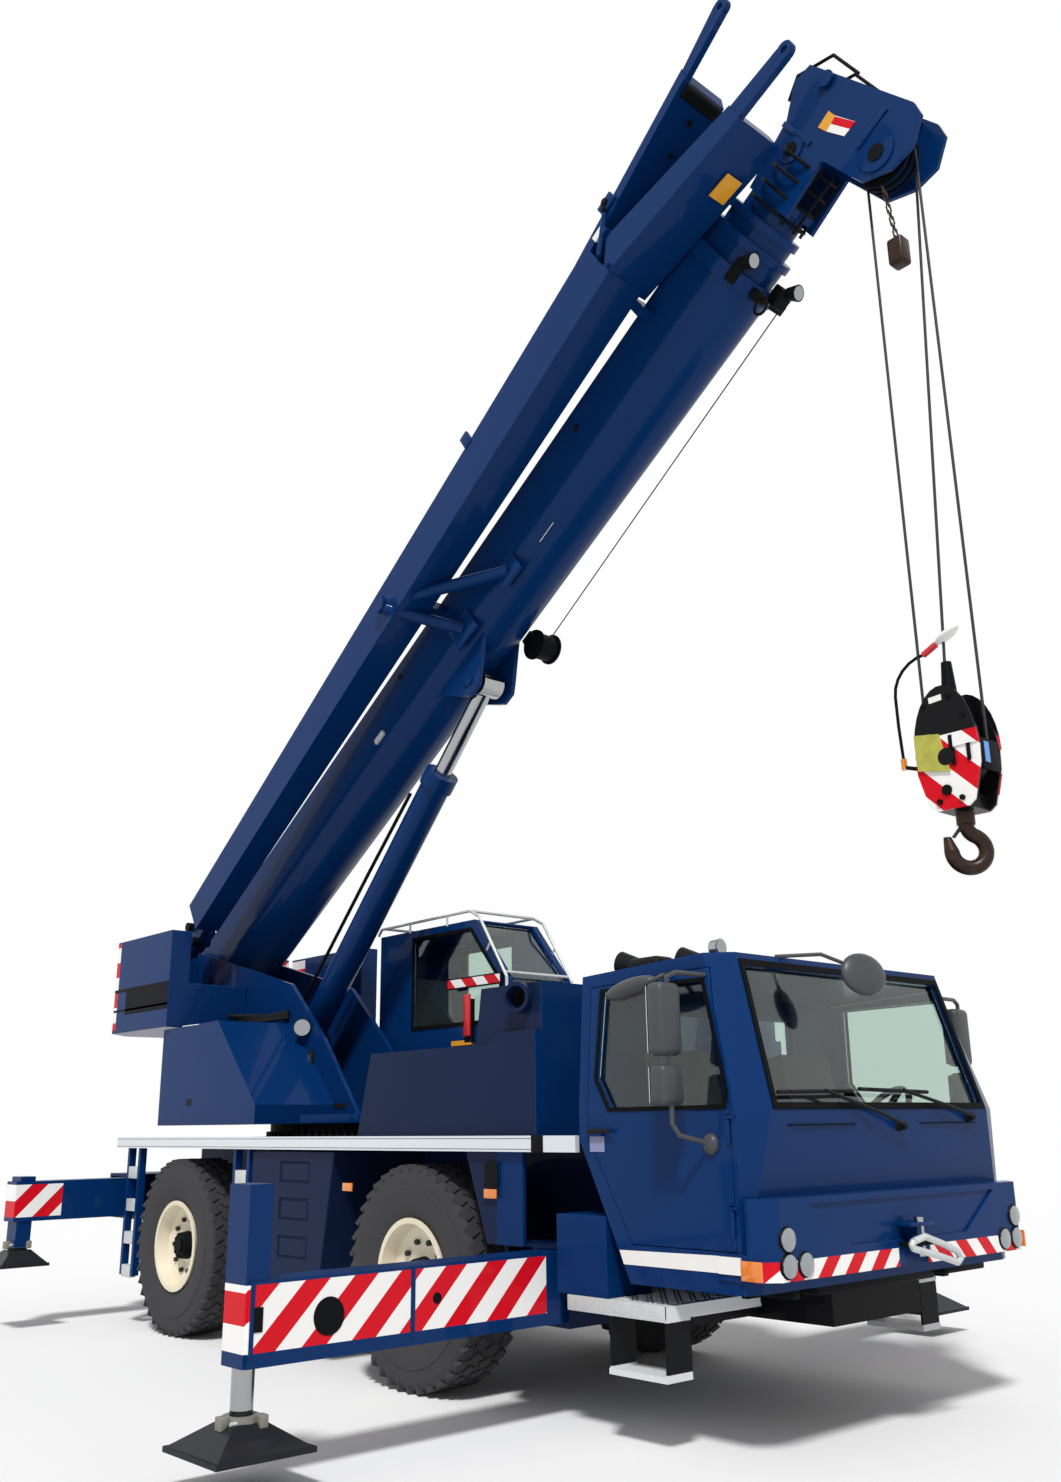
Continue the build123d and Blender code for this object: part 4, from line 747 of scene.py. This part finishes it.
def buildCranePane(shape):
    inner, outer = craneCab["paneY"]
    for (startX, startZ), (endX, endZ) in zip(craneCab["pane"], craneCab["pane"][1:]):
        span = Vector((endX - startX, 0, endZ - startZ))
        out = Vector((0, 1, 0)).cross(span).normalized() * -craneCab["paneDepth"]
        addPlate(shape, [(startX, inner, startZ), (endX, inner, endZ), (endX, outer, endZ),
                         (startX, outer, startZ)], out)


def buildCraneSeal(shape):
    addFrame(shape, [(x, craneCab["sealY"], z) for x, z in craneCab["window"]], craneCab["sealWidth"],
             Vector((0, -craneCab["sealDepth"], 0)))


railY = (0.43, 1.17)
roofRails = {"paths": [([(-0.2, y, 3.33), (-0.15, y, 3.385), (1.17, y, 3.395), (1.30, y, 3.33),
                         (1.655, y, 2.79), (1.665, y, 2.52)], 0.013) for y in railY],
             "rods": [*(((x, y, 3.30), (x, y, 3.39), 0.01) for y in railY for x in (0.3, 0.85)),
                      *(((1.4, y, 3.03), (1.45, y, 3.1), 0.009) for y in railY),
                      *(((x, railY[0], z), (x, railY[1], z), 0.013)
                        for x, z in ((-0.1, 3.387), (1.17, 3.395), (1.62, 2.83)))]}
makePiece("craneFrontPane", "upperworks", [tintedGlass], buildCranePane)
makePiece("craneWindowSeal", "upperworks", [sealRubber], buildCraneSeal)
makePiece("craneRoofRails", "upperworks", [zincSteel], roofRails)

# platform: work lamp and its stalk, four hydraulic lines, black side recesses of painted shade, a white edge
upperTrim = {
    "lamp": (-0.12, -0.42, 2.45), "lampFacing": (0.85, -0.5, -0.12),
    "lampRings": ((-0.09, 0, 0.05, 0, 0.078, 28), (0, 0.006, 0.07, 1, None, 28)),
    "rods": [((-0.16, -0.335, 2.44), (-0.15, -0.42, 2.44), 0.02)],
    "paths": [([(-1.33, -0.36, 2.62 + rise), (-1.2, -0.5 - rise, 2.56 + rise),
                (-0.9, -0.62 - rise, 2.535 + rise), (-0.62, -0.52 + rise, 2.53 + rise),
                (-0.45, -0.36, 2.56 + rise)], 0.016)
              for rise in (0, 0.018, 0.036, 0.054)],
    # a black sheet of painted shade in a side recess
    "boxes": [((-0.86, -1.1035, 1.80), (-0.78, -1.099, 1.86)),
              ((-1.02, -1.1035, 2.486), (-0.72, -1.0, 2.492), 2),
              ((-0.09, -0.375, 1.91), (-0.02, -0.344, 2.25), 0, 0.012),
              ((-0.075, -0.378, 2.12), (-0.035, -0.372, 2.22), 1),
              # a black strip of painted shade in a side recess
              ((-0.75, -0.352, 1.76), (0.5, -0.344, 1.80))]}


def buildUpperTrim(shape):
    addParts(shape, upperTrim)
    addRings(shape, upperTrim["lamp"], upperTrim["lampFacing"], upperTrim["lampRings"])


makePiece("upperTrim", "upperworks", [blackPlastic, clearLens, whiteEnamel], buildUpperTrim)

# counterweight: black sheets of painted shade in the gaps between its slabs
tailTrim = {"pair": {"boxes": [((-2.405, 1.146, 2.885), (-1.255, 1.1518, 2.915)),
                               ((-2.405, 1.146, 2.70), (-1.255, 1.1518, 2.72)),
                               ((-2.15, 1.146, 2.665), (-1.258, 1.1518, 2.885))]}}
makePiece("tailTrim", "upperworks", [blackPaint], tailTrim)

# striped board with its frame and brackets, and the red bar below it
stripedBoard = {"boxes": [((0.9, 0.40, 2.745), (1.6, 0.42, 2.815)),
                          ((0.888, 0.403, 2.733), (1.612, 0.422, 2.827), 1),
                          ((0.98, 0.42, 2.76), (1.02, 0.452, 2.8), 1),
                          ((1.48, 0.42, 2.76), (1.52, 0.452, 2.8), 1),
                          ((1.12, 0.40, 2.33), (1.2, 0.42, 2.68), 2, 0.004),
                          ((1.11, 0.42, 2.28), (1.21, 0.452, 2.64), 1),
                          ((0.93, 0.42, 2.26), (1.2, 0.448, 2.30), 3)]}
boardSheet = stripedFinish("boardHazardSheet", (1, 0, 1), 300, 0, [("Z", 2.0, 3.0)])
makePiece("stripedBoard", "upperworks", [boardSheet, blackPaint, redEnamel, yellowEnamel], stripedBoard)
print("upperworks dressed")

# boom: places are along it, across it and square to it, from its foot pin
boom = {"foot": (-2.05, 0, 3.05), "angle": 33.0}
boomPlace = Matrix.Translation(boom["foot"]) @ Matrix.Rotation(-math.radians(boom["angle"]), 4, "Y")

# jib: rails and pins at its foot, brackets along it and eyes at its tip
jibTrim = {
    "boxes": [((7.90, -0.79, 0.655), (7.96, -0.22, 0.69), 0, 0.006),
              ((7.76, -0.79, 0.40), (7.80, -0.30, 0.425), 0, 0.006),
              ((7.83, -0.774, 0.70), (7.93, -0.758, 0.76), 2),
              ((8.0, -0.785, 0.80), (8.16, -0.757, 0.90), 0, 0.01),
              ((5.95, -0.77, 0.66), (6.05, -0.74, 0.80), 0, 0.01),
              ((0.30, -0.60, 0.05), (0.62, -0.54, 0.33), 0, 0.02)],
    "rods": [((7.78, -0.775, 0.56), (8.02, -0.775, 0.80), 0.02),
             ((8.08, -0.80, 0.86), (8.08, -0.75, 0.86), 0.028, 3),
             ((8.04, -0.80, 0.82), (8.04, -0.75, 0.82), 0.02, 3),
             *(((u, -0.55, v), (u, -0.55, v - 0.02), 0.02, 3)
               for u, v in ((8.35, 0.775), (8.6, 0.812), (8.85, 0.85))),
             ((9.0, -0.72, 0.90), (9.0, -0.36, 0.90), 0.055, 3),
             ((9.02, -0.68, 0.20), (9.02, -0.36, 0.26), 0.05, 3),
             *(((0.42, -0.71, v), (0.42, -0.52, v), 0.045, 3) for v in (0.1, 0.28)),
             ((0.25, -0.71, 0.12), (0.25, -0.57, 0.12), 0.06, 3)],
    "plates": [(-0.535, 0.15, ((8.57, 0.188), (8.76, 0.15), (8.76, 0.14), (8.57, 0.178)), 1)]}
# two bars from one knuckle to feet on the boom
jibBrace = {"rods": [((4.49, -0.78, 0.42), (5.43, -0.29, -0.10), 0.052),
                     ((4.49, -0.78, 0.36), (4.76, -0.29, -0.06), 0.052),
                     ((4.49, -0.84, 0.40), (4.49, -0.74, 0.40), 0.075)],
            "boxes": [((5.3, -0.31, -0.2), (5.55, -0.275, 0.0), 0, 0.01),
                      ((4.62, -0.31, -0.18), (4.9, -0.275, 0.06), 0, 0.01)]}
makePiece("jibTrim", "boom", [navyEnamel, yellowEnamel, whiteEnamel, blackPaint], jibTrim, place=boomPlace)
makePiece("jibBrace", "boom", [navyEnamel], jibBrace, place=boomPlace)

# boom: cable drum and its wire, two work lamps and a ring at the front, studs and bare plates on the side
workLamps = ((-0.24, -0.2), (0.14, -0.36))
plateTurn = Matrix.Rotation(math.radians(-42), 4, "X")
boomTrim = {
    "rods": [((4.95, 0.25, -0.29), (4.95, 0.43, -0.29), 0.11, 0, None, 32),
             ((4.95, 0.24, -0.29), (4.95, 0.255, -0.29), 0.13, 0, None, 32),
             ((4.95, 0.425, -0.29), (4.95, 0.44, -0.29), 0.13, 0, None, 32),
             ((5.0, 0.34, -0.31), (8.24, 0.34, -0.165), 0.005, 1, None, 8),
             *(((8.37, y, v), (8.42, y, v - 0.08), 0.045, 0, 0.06, 28) for y, v in workLamps),
             *(((8.42, y, v - 0.08), (8.422, y, v - 0.0832), 0.05, 2) for y, v in workLamps),
             ((6.63, -0.284, 0.25), (6.63, -0.279, 0.25), 0.03),
             ((3.9, -0.284, 0.30), (3.9, -0.279, 0.30), 0.03)],
    "boxes": [((4.89, 0.2, -0.27), (5.01, 0.34, -0.19)),
              ((8.19, 0.2, -0.2), (8.27, 0.36, -0.13), 0, 0.01),
              ((8.20, -0.1, -0.37), (8.28, 0.02, -0.27), 0, 0.02),
              ((8.24, 0.08, -0.37), (8.38, 0.2, -0.25), 0, 0.012),
              ((8.2, -0.27, -0.21), (8.38, -0.2, -0.14), 0, 0.012),
              ((5.79, -0.218, -0.172), (5.98, -0.212, -0.07), 3, 0.0, plateTurn),
              ((3.33, -0.31, 0.0), (3.47, -0.28, 0.05), 3, 0.006)],
    "paths": [([(8.2 + 0.055 * c, -0.04, -0.40 + 0.055 * s) for c, s in arc(0, 361, 20)], 0.011, 0, 10)]}
makePiece("boomTrim", "boom", [blackPaint, ropeSteel, clearLens, zincSteel], boomTrim, place=boomPlace)

# head: guard hoops and their bars, sheave rims, cross pins and rope guards;
# for each side plate, where its pads start and end, where its bosses end and where its stub ends
headSides = ((-0.172, -0.16, -0.18, -0.19), (0.16, 0.172, 0.192, 0.202))
crossPins = ((9.62, -0.10, 0.03, 0), (9.70, -0.42, 0.03, 0), (9.50, 0.50, 0.035, 1))
headTrim = {
    "rods": [*(((8.70, y, v), (9.14, y, v), 0.012, 0, None, 10)
               for y, v in ((-0.1075, -0.138), (0.0, -0.175), (0.1075, -0.138))),
             *(((u, start, v), (u, end, v), radius, 1, None, sides) for start, end, _, _ in headSides
               for u, v, radius, sides in ((9.41, -0.566, 0.13, 40), (9.12, 0.18, 0.10, 36))),
             *(((u, start, v), (u, boss, v), radius, 0, None, 28) for start, _, boss, _ in headSides
               for u, v, radius in ((9.41, -0.566, 0.06), (9.12, 0.18, 0.05))),
             *(((9.60, start, 0.30), (9.60, stub, 0.30), 0.06, 1, None, 32)
               for start, _, _, stub in headSides),
             *(((u, -0.155, v), (u, 0.155, v), radius, slot) for u, v, radius, slot in crossPins),
             *(((9.41, y + side, -0.566), (9.41, y + side + 0.006, -0.566), 0.2, 0, None, 48)
               for y in (-0.06, 0.0) for side in (-0.026, 0.02))],
    "boxes": [*(((9.36, start, -0.40), (9.66, end, -0.36), 1, 0.004) for start, end, _, _ in headSides),
              *(((9.2, start, 0.05), (9.24, end, 0.42), 1, 0.004) for start, end, _, _ in headSides)],
    "paths": [([(u, 0.215 * c, 0.1 + 0.275 * s) for c, s in arc(150, 391, 20)], 0.013, 0, 10)
              for u in (8.74, 8.86, 8.98, 9.10)],
    "pair": {"paths": [([(9.36, 0.13, 0.56), (9.52, 0.13, 0.64), (9.75, 0.13, 0.44), (9.74, 0.13, 0.1)],
                        0.012)]}}
makePiece("headTrim", "tele_3", [blackPaint, navyEnamel], headTrim, place=boomPlace)

headSign = {"plates": [(-0.1615, -0.004, ((9.33, 0.08), (9.45, 0.09), (9.45, 0), (9.34, -0.02)), 1),
                       (-0.1615, -0.004, ((9.34, -0.02), (9.45, 0), (9.49, -0.21), (9.38, -0.2)))]}
signSheet = stripedFinish("headHazardSheet", (1, 0, 1), 150, 40, [("Z", 0.0, 20.0)])
makePiece("headSign", "tele_3", [signSheet, yellowEnamel], headSign, place=boomPlace)

luffLines = {"pair": {"paths": [([(-0.55, 0.14, 2.75), (0.45, 0.14, 3.78), (1.05, 0.14, 4.38)], 0.016)]}}
makePiece("luffLines", "luff_barrel", [blackPaint], luffLines)
print("boom dressed")

# hook block: raised cheeks, lime panel, studs, slots of painted shade, rope socket, from its sheave's middle
blockPlace = Matrix.Translation((6.150, 0, 3.57))
cheekArch = [(0.197 * c, 0.05 + 0.375 * s) for c, s in arc(0, 181, 12)]
blockCheeks = {"pair": {"plates": [(0.126, 0.008, cheekArch)]}}
blockTrim = {
    "pair": {"plates": [(0.134, 0.004, ((-0.19, 0.165), (-0.03, 0.14), (0.02, -0.09), (-0.182, -0.05)), 1),
                        (0.134, 0.008, ((-0.10, 0.152), (-0.085, 0.15), (-0.07, -0.07), (-0.085, -0.068)), 1),
                        (0.134, 0.004, ((-0.07, 0.33), (-0.072, 0.365), (0.01, 0.37), (0.01, 0.335)), 2)],
             "rods": [((-0.02, 0.122, -0.19), (-0.02, 0.136, -0.19), 0.03, 0, None, 24),
                      *(((x, 0.124, z), (x, 0.14, z), 0.017, 0, None, 6) for x, z in
                        ((-0.11, 0.32), (0.05, 0.345), (0.125, 0.22), (-0.07, -0.25), (0.07, -0.25)))],
             # black sheets of painted shade in the slots
             "boxes": [((x - 0.012, 0.134, z - 0.05), (x + 0.012, 0.137, z + 0.05), 0, 0.001)
                       for x, z in ((0.035, 0.07), (0.045, -0.01), (0.14, 0.0))]},
    "boxes": [((0.185, -0.09, -0.1), (0.2, 0.09, 0.08), 0, 0.004),
              ((0.196, -0.07, -0.06), (0.203, -0.02, 0.06), 3)],
    "rods": [((-0.01, 0, 0.3), (-0.01, 0, 0.6), 0.052, 0, 0.03, 24)]}
# guide arm with its amber foot, red sleeve and white knob
blockArm = {
    "paths": [([(5.97, 0.0, 3.55), (5.80, 0.0, 3.605)], 0.012),
              ([(5.80, 0.0, 3.605), (5.787, 0.0, 3.86)]
               + [(6.01 + 0.225 * c, 0.0, 4.05 + 0.21 * s) for c, s in arc(180, 89, -15)], 0.0095)],
    "rods": [((5.80, 0.0, 3.59), (5.797, 0.0, 3.655), 0.018, 3),
             ((6.0, 0.0, 4.257), (6.09, 0.0, 4.30), 0.02, 1)],
    "balls": [((6.165, 0.0, 4.338), 0.085, 2, (1, 0.55, 0.3), Matrix.Rotation(math.radians(-26), 4, "Y"))]}
makePiece("blockCheeks", "hook_block", [blockSheet], blockCheeks, place=blockPlace)
makePiece("blockTrim", "hook_block", [blackPaint, limeEnamel, whiteEnamel, blueEnamel], blockTrim,
          place=blockPlace)
makePiece("blockArm", "hook_block", [blackPaint, redEnamel, whiteEnamel, amberLens], blockArm)

# latch across the hook's mouth, turned with the hook
hookLatch = {"turn": 45, "plates": [(-0.012, 0.024, ((-0.084, -0.44), (-0.07, -0.452), (-0.006, -0.375),
                                                     (-0.02, -0.36)))]}
makePiece("hookLatch", "hook", [castIron], hookLatch,
          place=blockPlace @ Matrix.Rotation(math.radians(hookLatch["turn"]), 4, "Z"))

# falls: two over the sheaves and the dead end on the becket, baked in place between the head and the block
ropes = {"radius": 0.009, "sheave": 0.185, "becketFoot": (-0.03, 0.0, 0.4103),
         "becketTip": (0.13, 0.075, -0.1303), "topEnd": 0.14, "lowEnd": 0.42}
ropeLow, ropeHigh = (Vector(corner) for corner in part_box("rope_falls"))
ropeX = (ropeLow.x + ropeHigh.x) / 2
ropeHead, ropeBlock = Vector((ropeX, 0, ropeHigh.z)), Vector((ropeX, 0, ropeLow.z))


def buildRopes(shape):
    for sign in (-1, 1):
        reach = Vector((sign * ropes["sheave"], 0, 0))
        addRod(shape, ropeBlock + reach, ropeHead + reach, ropes["radius"])
    addRod(shape, ropeBlock + Vector(ropes["becketFoot"]), ropeHead + Vector(ropes["becketTip"]),
           ropes["radius"])


makePiece("hoistRopes", ("falls", "hook_block"), [ropeSteel], buildRopes, ["rope_falls"],
          span=(ropeHead - Vector((0, 0, ropes["topEnd"])), ropeBlock + Vector((0, 0, ropes["lowEnd"]))))

# limit weight on its chain
limit = {"top": (6.144, -0.12, 7.46), "weight": (6.205, -0.12, 6.99), "links": 9, "overlap": 1.15,
         "wire": 0.006, "halfLink": 0.012, "body": ((-0.055, -0.055, -0.17), (0.055, 0.055, 0.02)),
         "rounding": 0.02}


def buildLimitWeight(shape):
    top, weight = Vector(limit["top"]), Vector(limit["weight"])
    for number in range(limit["links"]):
        start = top.lerp(weight, number / limit["links"])
        end = top.lerp(weight, (number + limit["overlap"]) / limit["links"])
        for sway in (limit["halfLink"], -limit["halfLink"]):
            aside = Vector((sway, 0, 0)) if number % 2 else Vector((0, sway, 0))
            addPath(shape, [start + aside, end + aside], limit["wire"], sides=8)
    low, high = (weight + Vector(corner) for corner in limit["body"])
    addBox(shape, low, high, soft=limit["rounding"])


makePiece("limitWeight", "falls", [forgedSteel], buildLimitWeight)
print("hoist dressed")

# pale floor, white surround and one high sun
studio = {"floorCode": "#f0f0f0", "floorRadius": 120, "floorDrop": 0.002, "sunStrength": 2.8, "sunAngle": 8,
          "skyStrength": 0.42, "sunTravel": (-0.42, 0.46, -0.78)}


def addStudio():
    floorMesh = bpy.data.meshes.new("studioFloor")
    shape = bmesh.new()
    bmesh.ops.create_circle(shape, cap_ends=True, segments=64, radius=studio["floorRadius"])
    shape.to_mesh(floorMesh)
    shape.free()
    floor = bpy.data.objects.new("studioFloor", floorMesh)
    floor.location.z = -studio["floorDrop"]
    scene.collection.objects.link(floor)
    floorMesh.materials.append(plainFinish("paleFloor", studio["floorCode"], 0.9))
    world = bpy.data.worlds.new("studioSurround")
    world.use_nodes = True
    scene.world = world
    tree = world.node_tree
    seen = addNode(tree, "ShaderNodeLightPath")
    direct = addNode(tree, "ShaderNodeMath", {"operation": "MAXIMUM"},
                     {0: seen.outputs["Is Camera Ray"], 1: seen.outputs["Is Transmission Ray"]})
    mirrored = addNode(tree, "ShaderNodeMath", {"operation": "MAXIMUM"},
                       {0: direct.outputs[0], 1: seen.outputs["Is Glossy Ray"]})
    strength = addNode(tree, "ShaderNodeMapRange", {"To Min": studio["skyStrength"], "To Max": 1.0},
                       {"Value": mirrored.outputs[0]})
    back = tree.nodes["Background"]
    back.inputs["Color"].default_value = (1, 1, 1, 1)
    tree.links.new(strength.outputs["Result"], back.inputs["Strength"])
    lampData = bpy.data.lights.new("highSun", "SUN")
    lampData.energy = studio["sunStrength"]
    lampData.angle = math.radians(studio["sunAngle"])
    lamp = bpy.data.objects.new("highSun", lampData)
    lamp.rotation_euler = Vector(studio["sunTravel"]).to_track_quat("-Z", "Y").to_euler()
    scene.collection.objects.link(lamp)


addStudio()
print("studio lit")
